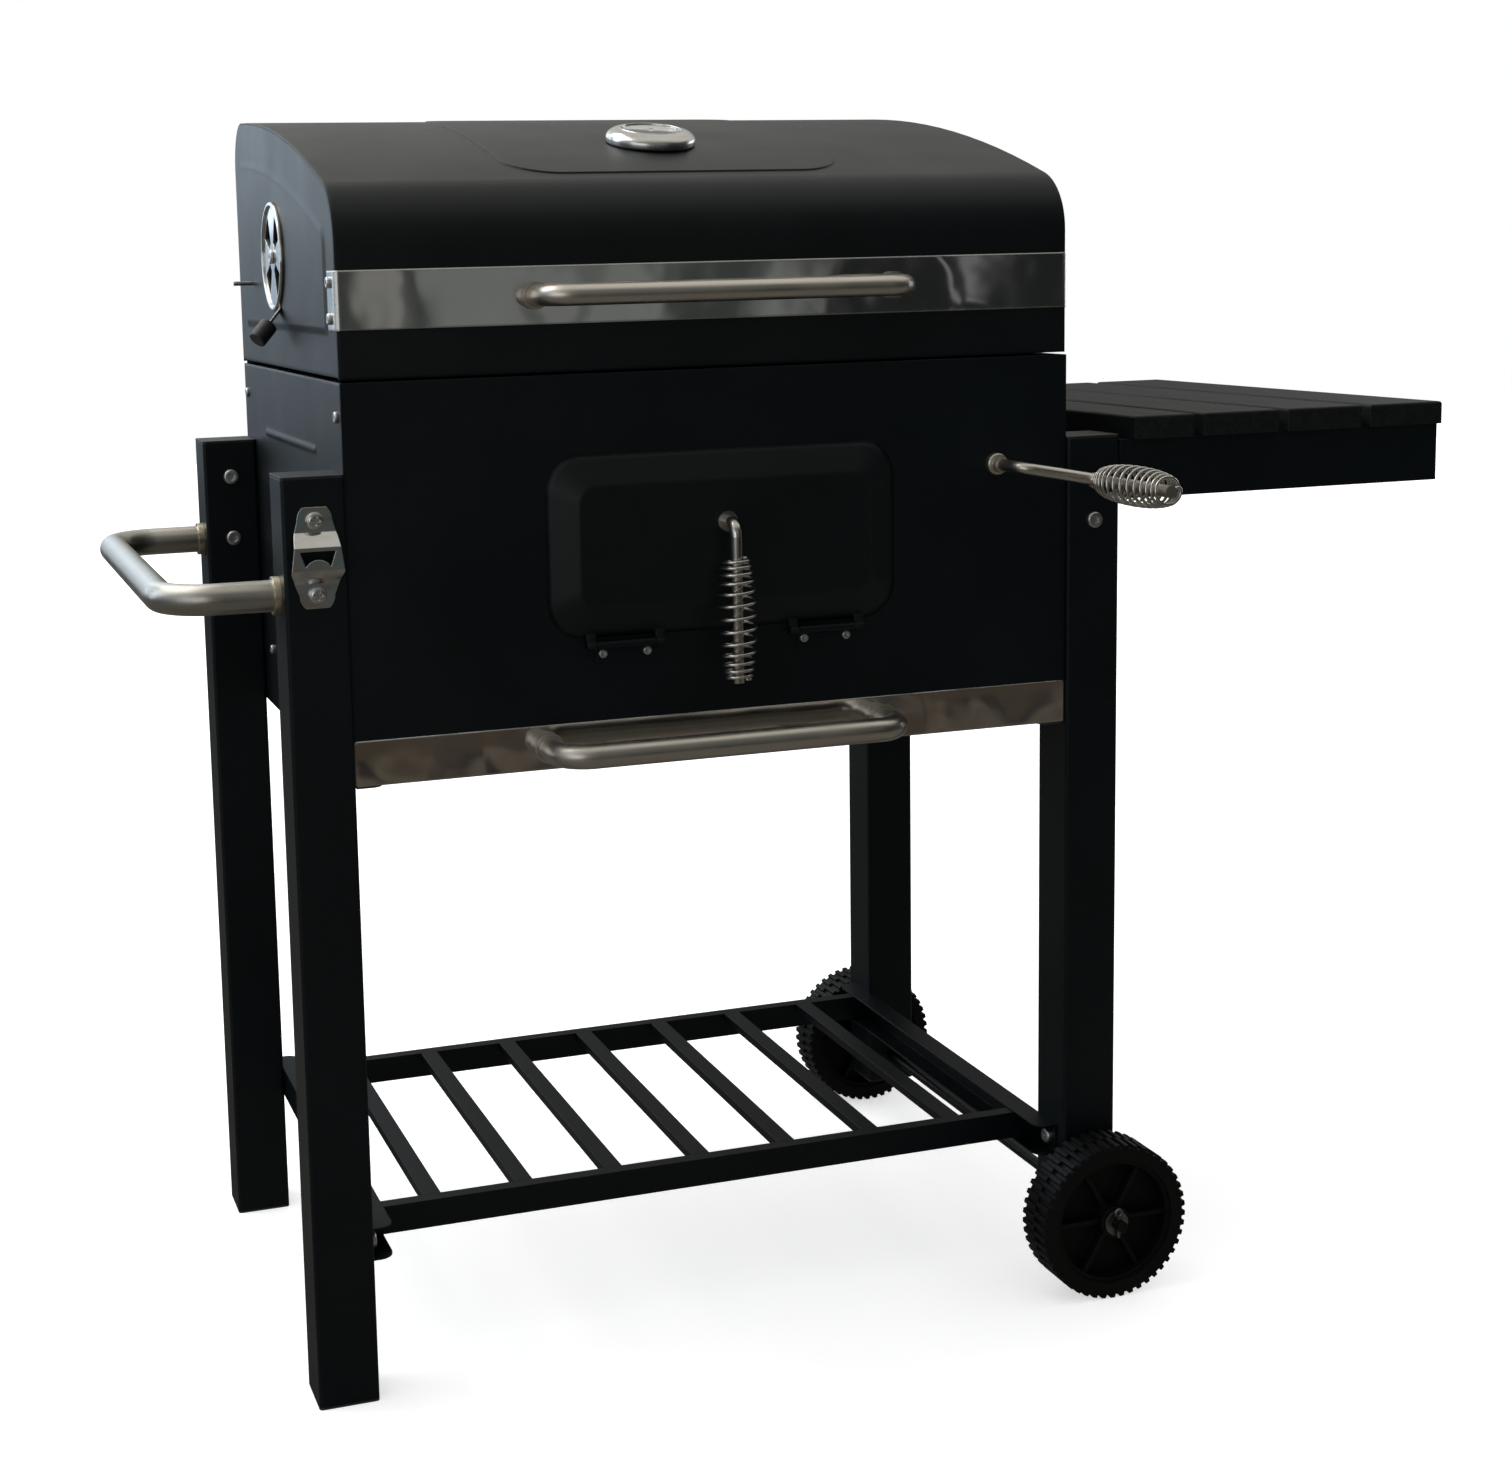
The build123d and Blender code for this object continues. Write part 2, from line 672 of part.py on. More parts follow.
def wheel_disc(y0):
    """The moulded wheel: rim, web, six ribs and hub."""
    mid = y0 + wheel_w / 2
    a = (leg_cx, y0, axle_z)
    b = (leg_cx, y0 + wheel_w, axle_z)
    rim = ring((leg_cx, y0 + 3, axle_z), (leg_cx, y0 + wheel_w - 3, axle_z), rim_r + 1, rim_r - 4.0)
    web = ring((leg_cx, mid - 2, axle_z), (leg_cx, mid + 2, axle_z), rim_r - 2, hub_r - 2)
    disc = rim + web + bar(a, b, hub_r)
    rib = Box(rim_r - hub_r, wheel_w - 14.0, 4.0)
    for k in range(6):
        disc += Pos(leg_cx, mid, axle_z) * Rot(0, 60 * k, 0) * Pos((rim_r + hub_r) / 2 - 1, 0, 0) * rib
    return disc - bar(a, b, axle_r + rod_fit)


def lug_ring(turn):
    """One row of tread blocks as a flat outline."""
    pts = []
    for k in range(lug_n):
        for share, drop in ((0.0, lug_h), (0.08, 0.0), (0.52, 0.0), (0.6, lug_h)):
            radius = wheel_r - drop
            angle = 2 * math.pi * (k + share + turn) / lug_n
            pts.append((radius * math.cos(angle), radius * math.sin(angle)))
    return make_face(Polyline(*pts, close=True))


def wheel_tread(y0):
    """The tread: a band with two rows of blocks out to its edges, one row half a pitch round."""
    side_on = Plane(origin=(leg_cx, y0 + wheel_w, axle_z), x_dir=(1, 0, 0), z_dir=(0, -1, 0))
    band = Cylinder(wheel_r - lug_h + 0.5, wheel_w, align=(Align.CENTER, Align.CENTER, Align.MIN))
    band = fillet(band.edges().filter_by(GeomType.CIRCLE), lug_h)
    row = (wheel_w - 2 * lug_edge) / lug_rows
    for k in range(lug_rows):
        band += Pos(0, 0, lug_edge + k * row) * extrude(lug_ring(0.5 * (k % 2)), row)
    band -= Pos(0, 0, -1) * Cylinder(rim_r, wheel_w + 2, align=(Align.CENTER, Align.CENTER, Align.MIN))
    return side_on * band


wheel_y = {"front": leg_fy - wheel_gap - wheel_w, "rear": leg_by + wheel_gap}
for tag, y in wheel_y.items():
    save("wheel_" + tag, wheel_disc(y) + wheel_tread(y))

# Ash drawer: runners on the side panels, a tray, the polished strip and its handle
runner_top = strip_low - drawer_run
runner_z = (runner_top - sheet, panel_low + runner_up)
runner_y = (sheet + seam, box_d - 6.0)
runner_x0 = -x_side + sheet
runner = block((runner_x0, runner_x0 + sheet), runner_y, runner_z)
runner += block((runner_x0, runner_x0 + runner_w), runner_y, (runner_z[0], runner_top))
runner = fillet(runner.edges().filter_by(Axis.Z).sort_by(Axis.X)[-2:], runner_w * 0.4)
for y_pair in ((0, panel_flange + seam), (box_d - panel_flange - seam, box_d)):
    runner -= block((runner_x0 - 1, runner_x0 + 2 * sheet), y_pair, (panel_low - seam, box_top))
for cut in runner_holes:
    runner -= cut
save("drawer_runners", *both(runner))
for y in runner_hole_y:
    face = (-x_side, y, runner_hole_z)
    panel_screws += both(bolt(face, (-1, 0, 0), screw_r, 2 * sheet + screw_tail, *screw_head))
tray_x = -runner_x0 - sheet - drawer_run
tray_y = (sheet + seam, box_d - 12.0)
tray_z = (runner_top + seam, panel_low - 3.0)
tray = block((-tray_x, tray_x), tray_y, tray_z)
tray -= block((-tray_x + tray_wall, tray_x - tray_wall), (tray_y[0] + tray_wall, tray_y[1] - tray_wall),
              (tray_z[0] + tray_wall, tray_z[1] + 5))
save("ash_tray", tray)
strip = block((-x_side + drawer_run, x_side - drawer_run), (0, sheet), (strip_low, panel_low - drawer_run))
save("drawer_strip", fillet(strip.edges().filter_by(Axis.Y), 2.0))
strip_mid = strip_low + strip_h / 2


def bow(cx, width, y, out, z, r, bend):
    """A bow handle: a tube that leaves the face at y, turns and comes back."""
    a = cx - width / 2
    b = cx + width / 2
    return pipe([(a, y, z), (a, y - out, z), (b, y - out, z), (b, y, z)], bend, r, r - tube_wall)


save("drawer_handle", bow(drawer_handle_x, drawer_handle_w, 0, drawer_handle_out, strip_mid, drawer_tube_r,
                          drawer_bend))
ferrules = []
for side in (-1, 1):
    x = drawer_handle_x + side * drawer_handle_w / 2
    ferrules.append(ring((x, -ferrule_t, strip_mid), (x, 0, strip_mid), drawer_tube_r + ferrule_wall,
                         drawer_tube_r + seam))
save("drawer_ferrules", *ferrules)

# Charcoal door: a pressed panel with bevelled sides, hung on two straps
door_y = -door_off
axis_y = -door_axis_out


def pressed(inset):
    """The door's form: a rounded outline drawn up to a smaller flat face."""
    w = door_w - 2 * inset
    h = door_h - 2 * inset
    base = Plane(origin=(0, door_y, door_mid_z), x_dir=(1, 0, 0), z_dir=(0, -1, 0))
    low = base.offset(-2.0 if inset else 0) * RectangleRounded(w, h, door_corner - inset)
    bevel_w = w - 2 * door_bevel
    bevel_h = h - 2 * door_bevel
    high = base.offset(door_deep - inset) * RectangleRounded(bevel_w, bevel_h, (door_corner - inset) / 2)
    return loft([low, high])


door = pressed(0) - pressed(tray_wall)
knuckle_gap = 0.4
ear_w = door_hinge_w / 2 + knuckle_gap
for sx in (-1, 1):
    for way in (-1, 1):
        x0 = sx * door_hinge_x + way * ear_w
        x1 = x0 + way * door_ear
        ear = bar((x0, axis_y, door_axis_z), (x1, axis_y, door_axis_z), door_knuckle_r)
        x_pair = sorted((x0, x1))
        ear += block(x_pair, (axis_y, axis_y + door_knuckle_r), (door_axis_z, door_z0 + 4.0))
        door += ear
    door -= bar((sx * door_hinge_x - 60, axis_y, door_axis_z), (sx * door_hinge_x + 60, axis_y, door_axis_z),
                door_pin_r + hinge_fit)
door_face_y = door_y - door_deep
door -= bar((pull_x, -60, pull_z), (pull_x, 30, pull_z), grip_rod_r + rod_fit)
save("charcoal_door", door)
straps = []
strap_pins = []
strap_screws = []
strap_t = 1.2
for sx in (-1, 1):
    cx = sx * door_hinge_x
    half = door_hinge_w / 2
    strap = block((cx - half, cx + half), (-strap_t, 0), (door_axis_z - 15.0, door_axis_z))
    strap += bar((cx - half, axis_y, door_axis_z), (cx + half, axis_y, door_axis_z), door_knuckle_r)
    lip_z = door_axis_z - door_knuckle_r
    strap += block((cx - half, cx + half), (axis_y, 0), (lip_z, lip_z + strap_t))
    strap -= bar((cx - 60, axis_y, door_axis_z), (cx + 60, axis_y, door_axis_z), door_pin_r + hinge_fit)
    pin_half = ear_w + door_ear
    pin_end = (cx + pin_half, axis_y, door_axis_z)
    strap_pins.append(bar((cx - pin_half, axis_y, door_axis_z), pin_end, door_pin_r))
    for x, z in hinge_screws:
        if abs(x - cx) < half:
            strap -= bar((x, -9, z), (x, 9, z), screw_r + bolt_slack)
            grip = strap_t + sheet + screw_tail
            strap_screws.append(bolt((x, -strap_t, z), (0, -1, 0), screw_r, grip, *strap_head))
    straps.append(strap)
save("door_straps", *straps, *strap_pins)
save("small_screws", *panel_screws, *table_screws, *strap_screws)


# Barrel springs: the wire winds out and in again round the rod and ends square against it
def spring_point(u):
    """Axis height, radius and angle of the wire at share u of its turns."""
    height = spring_l * (u - spring_stretch * math.sin(2 * math.pi * u) / (2 * math.pi))
    radius = spring_end_r + (spring_mid_r - spring_end_r) * math.sin(math.pi * u)
    angle = 2 * math.pi * spring_n * u
    return Vector(radius * math.cos(angle), radius * math.sin(angle), height)


def spring_way(u):
    """The wire's direction at share u."""
    step_u = 1e-5
    return (spring_point(u + step_u) - spring_point(u - step_u)).normalized()


def biarc(p0, t0, p1, t1):
    """Two tangent arcs that leave p0 along t0 and reach p1 along t1."""
    v = p1 - p0
    b = v.dot(t0 + t1)
    k = 2 * (1 - t0.dot(t1))
    d = (math.sqrt(b * b + k * v.dot(v)) - b) / k
    q0 = p0 + t0 * d
    q1 = p1 - t1 * d
    mid = (q0 + q1) * 0.5
    return [TangentArc(p0, mid, tangent=t0), TangentArc(mid, p1, tangent=(q1 - q0).normalized())]


def barrel_spring():
    """The spring about the Z axis, from height 0 to spring_l."""
    count = spring_n * spring_steps
    marks = [k / count for k in range(count + 1)]
    runs = []
    for a, b in zip(marks, marks[1:]):
        runs += biarc(spring_point(a), spring_way(a), spring_point(b), spring_way(b))
    turn_r = 2.2 * wire_r
    straight = spring_end_r - turn_r - grip_rod_r

    def tail(p, way):
        """The bent end: from the last turn in towards the rod, then straight on to it."""
        inward = Vector(-p.X, -p.Y, 0).normalized()
        corner = p + way * turn_r + inward * turn_r
        return corner, corner + inward * straight, inward

    p0 = spring_point(0)
    c0, e0, in0 = tail(p0, spring_way(0) * -1)
    p1 = spring_point(1)
    c1, e1, in1 = tail(p1, spring_way(1))
    head = [Line(e0, c0)] + biarc(c0, in0 * -1, p0, spring_way(0))
    foot = biarc(p1, spring_way(1), c1, in1) + [Line(c1, e1)]
    path = Wire(head + runs + foot)
    start = Plane(origin=e0, z_dir=c0 - e0)
    wire = sweep(start * Circle(wire_r), path=path)
    wire -= Pos(0, 0, spring_l / 2) * Cylinder(grip_rod_r + rod_fit, 2 * spring_l)
    beads = [path @ (k / 2400) for k in range(2401)]
    gap = 1e9
    for i in range(0, len(beads), 3):
        for j in range(i + 90, len(beads), 3):
            gap = min(gap, (beads[i] - beads[j]).length)
    print("spring: least gap between turns", round(gap - 2 * wire_r, 2), "mm, length", round(path.length, 1))
    return wire


spring = barrel_spring()

# Door pull: a bent rod through the door, its rosette outside and a nut inside
pull_in = 10.0
rosette_t = 3.0
rosette_r = 8.5
nut_t = 6.0
nut_r = 9.0
door_back_y = door_face_y + tray_wall
save("door_pull", pipe([(pull_x, door_back_y + pull_in, pull_z), (pull_x, -pull_out, pull_z),
                        (pull_x, -pull_out, pull_z - pull_drop)], grip_bend, grip_rod_r))
spring_top = pull_z - pull_drop + spring_l + 3.0
save("door_spring", Pos(pull_x, -pull_out, spring_top) * Rot(180, 0, 0) * spring)
rosette = ring((pull_x, door_face_y - rosette_t, pull_z), (pull_x, door_face_y, pull_z), rosette_r,
               grip_rod_r + rod_fit)
back_nut = extrude(front_plane.offset(-door_back_y) * Pos(pull_x, pull_z) * RegularPolygon(nut_r, 6), -nut_t)
back_nut -= bar((pull_x, -30, pull_z), (pull_x, 30, pull_z), grip_rod_r)
save("pull_rosette", rosette, back_nut)

# Height crank: bush in the front panel, rod bent twice, spring grip, shaft through to the back
tilt = math.radians(crank_tilt)
throw = (crank_throw * math.cos(tilt), crank_throw * math.sin(tilt))
grip_x = crank_x + throw[0]
grip_z = crank_z + throw[1]
shaft_end = box_d + 4.0
crank_rod = pipe([(crank_x, shaft_end, crank_z), (crank_x, -crank_out, crank_z), (grip_x, -crank_out, grip_z),
                  (grip_x, -grip_tip, grip_z)], grip_bend, grip_rod_r)
save("crank_rod", crank_rod)
save("crank_spring", Pos(grip_x, -grip_tip + spring_l + 3.0, grip_z) * Rot(90, 0, 0) * spring)
neck = bush_r * 0.7
front_bush = bar((crank_x, -6, crank_z), (crank_x, 0, crank_z), bush_r)
front_bush = fillet(front_bush.edges().sort_by(Axis.Y)[0], 2.5)
front_bush += bar((crank_x, -12, crank_z), (crank_x, 9, crank_z), neck)
front_bush -= bar((crank_x, -40, crank_z), (crank_x, 40, crank_z), grip_rod_r + rod_fit)
back_bush = bar((crank_x, box_d, crank_z), (crank_x, box_d + 3, crank_z), bush_r)
back_bush += bar((crank_x, box_d - 9, crank_z), (crank_x, box_d, crank_z), neck)
back_bush -= bar((crank_x, box_d - 40, crank_z), (crank_x, box_d + 40, crank_z), grip_rod_r + rod_fit)
save("crank_bushes", front_bush, back_bush)

# Pinions on the shaft and racks beside them, in mesh at rest
pitch_r = gear_module * gear_teeth / 2
base_r = pitch_r * math.cos(math.radians(gear_press))
tip_r = pitch_r + gear_module * 0.9
root_r = pitch_r - gear_module * 1.25
tooth_pitch = math.pi * gear_module


def involute(r):
    """Polar angle of the involute at radius r."""
    a = math.acos(min(1.0, base_r / r))
    return math.tan(a) - a


def pinion():
    """A spur gear about the Y axis, a tooth pointing along +X."""
    half = math.pi / (2 * gear_teeth) + involute(pitch_r) - gear_backlash / (4 * pitch_r)
    flank = [max(base_r, root_r) + (tip_r - max(base_r, root_r)) * k / 4 for k in range(5)]
    pts = []
    for k in range(gear_teeth):
        mid = 2 * math.pi * k / gear_teeth
        pts.append((root_r * math.cos(mid - half * 1.12), root_r * math.sin(mid - half * 1.12)))
        for r in flank:
            pts.append((r * math.cos(mid - half + involute(r)), r * math.sin(mid - half + involute(r))))
        for r in reversed(flank):
            pts.append((r * math.cos(mid + half - involute(r)), r * math.sin(mid + half - involute(r))))
        pts.append((root_r * math.cos(mid + half * 1.12), root_r * math.sin(mid + half * 1.12)))
    gear = extrude(make_face(Polyline(*pts, close=True)), gear_w / 2, both=True)
    return Rot(90, 0, 0) * (gear - Cylinder(grip_rod_r, gear_w * 2))


rack_y = [rack_y_in, box_d - rack_y_in]
save("pinions", *[Pos(crank_x, y, crank_z) * pinion() for y in rack_y])
rack_line = crank_x + pitch_r
rack_root = rack_line + gear_module * 1.25
rack_back = rack_root + rack_t
tooth_half = tooth_pitch / 4 - gear_backlash / 4
slope = math.tan(math.radians(gear_press))
rack_pts = [(rack_back, rack_low), (rack_root, rack_low)]
teeth_below = math.ceil((lift_travel + 2 * tooth_pitch) / tooth_pitch)
teeth_above = math.floor((rack_top - crank_z - tooth_pitch) / tooth_pitch)
for k in range(-teeth_below, teeth_above + 1):
    z = crank_z + (k + 0.5) * tooth_pitch
    foot = tooth_half + gear_module * 1.25 * slope
    crest = tooth_half - gear_module * 0.9 * slope
    rack_pts += [(rack_root, z - foot), (rack_line - gear_module * 0.9, z - crest),
                 (rack_line - gear_module * 0.9, z + crest), (rack_root, z + foot)]
rack_pts += [(rack_root, rack_top), (rack_back, rack_top)]
rack_face = front_plane * make_face(Polyline(*rack_pts, close=True))
racks = [Pos(0, y + rack_w / 2, 0) * extrude(rack_face, rack_w) for y in rack_y]

# Guides hold the racks against the pinions, on stand-off boxes fixed to the right wall
guide_x0 = rack_back + guide_fit
guide_x1 = x_side - sheet
guide_z = (guide_low, ledge_z - ledge_h - 2.0)
guides = []
for y in rack_y:
    half = rack_w / 2 + guide_fit
    outer = block((rack_root + 1.0, guide_x1), (y - half - guide_wall, y + half + guide_wall), guide_z)
    outer -= block((rack_root - 1.0, guide_x0), (y - half, y + half), (guide_z[0] - 1, guide_z[1] + 1))
    outer -= block((guide_x0 + guide_wall, guide_x1 - guide_wall), (y - half, y + half),
                   (guide_z[0] - 1, guide_z[1] + 1))
    guides.append(outer)
save("rack_guides", *guides)

# Lift frame under the charcoal pan: an arm from each rack and two cross bars
pan_x = (-flange_x + pan_gap, crank_x - tip_r - 6.0)
pan_y = (pan_gap, box_d - pan_gap)
arm_z = (rack_low + arm_up, rack_low + arm_up + arm_h)


def lift_bars(inset, top):
    """The arms and cross bars, drawn in by inset, up to a given height."""
    half = rack_w / 2 - inset
    z = (arm_z[0] - inset, top)
    bars = [block((pan_x[0] + 20 + inset, rack_root - inset), (y - half, y + half), z) for y in rack_y]
    for share in (0.12, 0.88):
        x = pan_x[0] + share * (pan_x[1] - pan_x[0])
        bars.append(block((x - half, x + half), (rack_y[0], rack_y[1]), z))
    return bars[0].fuse(*bars[1:])


frame = lift_bars(0, arm_z[1]) - lift_bars(arm_wall, arm_z[1] - arm_wall)
save("lift_frame", frame, *racks)
pan_z = (arm_z[1], arm_z[1] + pan_h)
pan = block(pan_x, pan_y, pan_z)
pan = fillet(pan.edges().filter_by(Axis.Z), 12.0)
inner = block((pan_x[0] + pan_wall, pan_x[1] - pan_wall), (pan_y[0] + pan_wall, pan_y[1] - pan_wall),
              (pan_z[0] + pan_wall, pan_z[1] + 9))
pan -= fillet(inner.edges().filter_by(Axis.Z), 12.0 - pan_wall)
slot_pitch = (pan_x[1] - pan_x[0] - 60.0) / pan_slots
for k in range(pan_slots):
    x = pan_x[0] + 30.0 + (k + 0.5) * slot_pitch
    slot = extrude(Pos(x, box_d / 2, pan_z[0] - 1) * SlotOverall(200.0, 8.0, rotation=90), 9)
    pan -= slot
save("charcoal_pan", pan)


def grid(x, y, z, r, pitch):
    """A welded wire grate: a rim of four wires with close wires across it from front to back."""
    rods = [bar((x[0], w, z), (x[1], w, z), r) for w in (y[0] + 12.0, y[1] - 12.0)]
    count = int((x[1] - x[0] - 2 * r) / pitch)
    step_x = (x[1] - x[0] - 4 * r) / count
    for k in range(count + 1):
        w = x[0] + 2 * r + k * step_x
        rods.append(bar((w, y[0], z + 1.5 * r), (w, y[1], z + 1.5 * r), r))
    body = rods[0]
    return body.fuse(*rods[1:])


# Cooking grates on ledges along the side walls and one loose bar at mid width
ledge = block((-x_side + sheet, -x_side + sheet + ledge_w), (panel_flange + 2, box_d - panel_flange - 2),
              (ledge_z - sheet, ledge_z))
ledge += block((-x_side + sheet, -x_side + 2 * sheet), (panel_flange + 2, box_d - panel_flange - 2),
               (ledge_z - ledge_h, ledge_z))
grate_z = ledge_z + grate_wire_r
grate_y = (panel_flange + 6.0, box_d - panel_flange - 6.0)
beam = block((-9, 9), (sheet, box_d - sheet), (ledge_z - 12.0, ledge_z))
beam -= block((-9 + sheet, 9 - sheet), (0, box_d), (ledge_z - 13.0, ledge_z - sheet))
save("grate_ledges", *both(ledge), beam)
half_grate = (-flange_x + sheet + grate_gap, -grate_gap / 2)
left_grate = grid(half_grate, grate_y, grate_z, grate_wire_r, grate_pitch)
save("cooking_grates", left_grate, mirrored(left_grate))

# Lid profile: upright front, gently rising crown, upright back
crown_back = lid_low + lid_rise
crown_drop = lid_rise - lid_front_h
span = lid_back - lid_front
chord = math.hypot(span, crown_drop)
sag = lid_crown_r - math.sqrt(lid_crown_r ** 2 - (chord / 2) ** 2)
mid_y = (lid_front + lid_back) / 2 - sag * crown_drop / chord
mid_z = lid_low + lid_front_h + crown_drop / 2 + sag * span / chord
lid_a = (lid_front, lid_low)
lid_b = (lid_front, lid_low + lid_front_h)
lid_c = (lid_back, crown_back)
lid_d = (lid_back, lid_low)
lid_outline = make_face([Line(lid_a, lid_b), ThreePointArc(lid_b, (mid_y, mid_z), lid_c), Line(lid_c, lid_d),
                         Line(lid_d, lid_a)])
upper = lid_outline.vertices().sort_by(Axis.Y)[-2:]
lid_outline = fillet(upper.sort_by(Axis.X)[0], lid_front_r)
lid_outline = fillet(lid_outline.vertices().sort_by(Axis.Y)[-1], lid_back_r)
lid_inner = offset(lid_outline, amount=-sheet, kind=Kind.INTERSECTION)
lid_inner += Pos((lid_front + lid_back) / 2, lid_low) * Rectangle(span - 2 * sheet, 4 * sheet)
lid_wall = lid_outline - lid_inner
lid_shell = extrude(Plane.YZ * lid_wall, x_side, both=True)


def on_crown(x, y):
    """The plane that touches the lid's crown at x, y."""
    m = Vector(mid_y, mid_z)
    a = Vector(*lid_b)
    c = Vector(*lid_c)
    across = (c - a).normalized()
    normal = Vector(-across.Y, across.X)
    centre = m - normal * lid_crown_r
    z = centre.Y + math.sqrt(lid_crown_r ** 2 - (y - centre.X) ** 2)
    out = Vector(0, y - centre.X, z - centre.Y).normalized()
    return Plane(origin=(x, y, z), x_dir=(1, 0, 0), z_dir=out)


def crown_pad(inset, up):
    """A rounded field of the crown raised by up, its outline drawn in by inset."""
    size = (crown_pad_w - 2 * inset, lid_back - crown_pad_back - crown_pad_y - 2 * inset)
    at = Pos(crown_pad_x, (crown_pad_y + lid_back - crown_pad_back) / 2, lid_low + sheet)
    field = extrude(at * RectangleRounded(*size, crown_pad_r - inset), 2 * lid_rise)
    return field & extrude(Plane.YZ * offset(lid_outline, amount=up), x_side, both=True)


pad = crown_pad(0, crown_pad_up) - extrude(Plane.YZ * lid_inner, x_side, both=True)
lid_shell += pad
lid_shell -= crown_pad(sheet, crown_pad_up - sheet) - extrude(Plane.YZ * lid_inner, x_side, both=True)
gauge_seat = on_crown(gauge_x, gauge_y).offset(crown_pad_up)
stem_hole = gauge_seat * Cylinder(gauge_stem_r + bolt_slack, 40)
lid_shell -= stem_hole
save("lid_shell", lid_shell)

# Lid ends: pressed plates inside the shell, with a raised field, vent holes and the rack's pin hole
end_gap = seam
end_face = offset(lid_outline, amount=-sheet - end_gap, kind=Kind.INTERSECTION)
end_face &= Pos((lid_front + lid_back) / 2, lid_low + 500) * Rectangle(2 * span, 1000 - 0.02)
at_left = Plane(origin=(-x_side, 0, 0), x_dir=(0, 1, 0), z_dir=(1, 0, 0))


def raised_field(inset, x):
    """The pressed field: the lid's outline drawn in, sloping out to a smaller flat face."""
    low = offset(lid_outline, amount=-lid_press - inset, kind=Kind.INTERSECTION)
    high = offset(lid_outline, amount=-lid_press - lid_press_slope - inset, kind=Kind.INTERSECTION)
    return loft([at_left.offset(x) * low, at_left.offset(x - lid_press_out) * high])


lid_end = extrude(at_left * end_face, sheet) + raised_field(0, 0)
lid_end -= raised_field(sheet, sheet)


def vent_slots(lap):
    """The sector openings of a vent, drawn in by lap all round, as cutters along X."""
    face = Plane(origin=(-x_side, vent_y, vent_z), x_dir=(0, 1, 0), z_dir=(1, 0, 0))
    band = Circle(vent_slot_out - lap) - Circle(vent_slot_in + lap)
    half = math.radians(vent_slot_deg / 2) - lap / vent_slot_out
    reach = 2 * vent_r
    cutters = []
    for k in range(vent_n):
        mid = 2 * math.pi * (k + 0.5) / vent_n
        corners = [(reach * math.cos(a), reach * math.sin(a)) for a in (mid - half, mid + half)]
        sector = make_face(Polyline((0, 0), *corners, close=True))
        cutters.append(extrude(face * (band & sector), 12, both=True))
    return cutters


for cut in vent_slots(vent_slot_lap):
    lid_end -= cut
lid_end -= bar((-x_side - 9, vent_y, vent_z), (-x_side + 9, vent_y, vent_z), vent_pin_r + bolt_slack)
lid_end -= Pos(-x_side, rack_pin_y, rack_pin_z) * Rot(0, 90, 0) * Cylinder(rack_wire_r + rod_fit, 18)
strip_z = (lid_low + lid_strip_up, lid_low + lid_strip_up + lid_strip_h)
strip_screw_z = [strip_z[0] + 9.0, strip_z[1] - 9.0]
strip_screw_y = lid_front + lid_strip_wrap - 9.0
for z in strip_screw_z:
    lid_end -= bar((-x_side - 9, strip_screw_y, z), (-x_side + 9, strip_screw_y, z), screw_r + bolt_slack)
save("lid_ends", *both(lid_end))

# Polished strip round the lid's front and both front corners, and the handle on it
strip_y0 = lid_front - seam - sheet
strip_x = x_side + seam + sheet
lid_band = block((-strip_x, strip_x), (strip_y0, lid_front + lid_strip_wrap), strip_z)
lid_band = fillet(lid_band.edges().filter_by(Axis.Z).sort_by(Axis.Y)[:2], 4.0)
lid_band -= block((-x_side - seam, x_side + seam), (lid_front - seam, lid_front + 2 * lid_strip_wrap),
                  (strip_z[0] - 1, strip_z[1] + 1))
for z in strip_screw_z:
    lid_band -= bar((-x_side - 9, strip_screw_y, z), (x_side + 9, strip_screw_y, z), screw_r + bolt_slack)
save("lid_strip", lid_band)
strip_screws = []
for z in strip_screw_z:
    strip_screws += both(bolt((-strip_x, strip_screw_y, z), (-1, 0, 0), screw_r,
                              2 * sheet + seam + screw_tail, *screw_head))
lid_strip_mid = (strip_z[0] + strip_z[1]) / 2
lid_bow = bow(lid_handle_x, lid_handle_w, strip_y0, lid_handle_out, lid_strip_mid, lid_tube_r, lid_bend)
save("lid_handle", lid_bow)
ferrules = []
for side in (-1, 1):
    x = lid_handle_x + side * lid_handle_w / 2
    ferrules.append(ring((x, strip_y0 - ferrule_t, lid_strip_mid), (x, strip_y0, lid_strip_mid),
                         lid_tube_r + ferrule_wall, lid_tube_r + seam))
save("lid_ferrules", *ferrules)

# Thermometer: domed bezel on the crown, dial and glass inside, needle between, stem through the lid
low = (Align.CENTER, Align.CENTER, Align.MIN)
base_t = 3.0
bezel = Cylinder(gauge_r, gauge_h, align=low)
bezel = fillet(bezel.edges().sort_by(Axis.Z)[-1], gauge_h * 0.6)
bezel -= Pos(0, 0, base_t) * Cylinder(gauge_r - gauge_wall, gauge_h, align=low)
bezel -= Cylinder(gauge_stem_r, 40)
seat_up = seam
save("gauge_bezel", gauge_seat * Pos(0, 0, seat_up) * bezel)
dial = Pos(0, 0, base_t) * Cylinder(gauge_r - gauge_wall, 1.0, align=low)
dial -= Pos(0, 0, base_t) * Cylinder(1.5, 9)
save("gauge_dial", gauge_seat * Pos(0, 0, seat_up) * dial)
glass = Pos(0, 0, gauge_h - 2.2) * Cylinder(gauge_r - gauge_wall, 1.5, align=low)
save("gauge_glass", gauge_seat * Pos(0, 0, seat_up) * glass)
needle = Pos(9, 0, base_t + 1.0 + 1.2) * Box(34, 2.4, 0.8)
needle += Pos(0, 0, base_t + 0.4) * Cylinder(1.5 - rod_fit, 2.4, align=low)
needle += Pos(0, 0, base_t + 1.5) * Cylinder(3.5, 1.5, align=low)
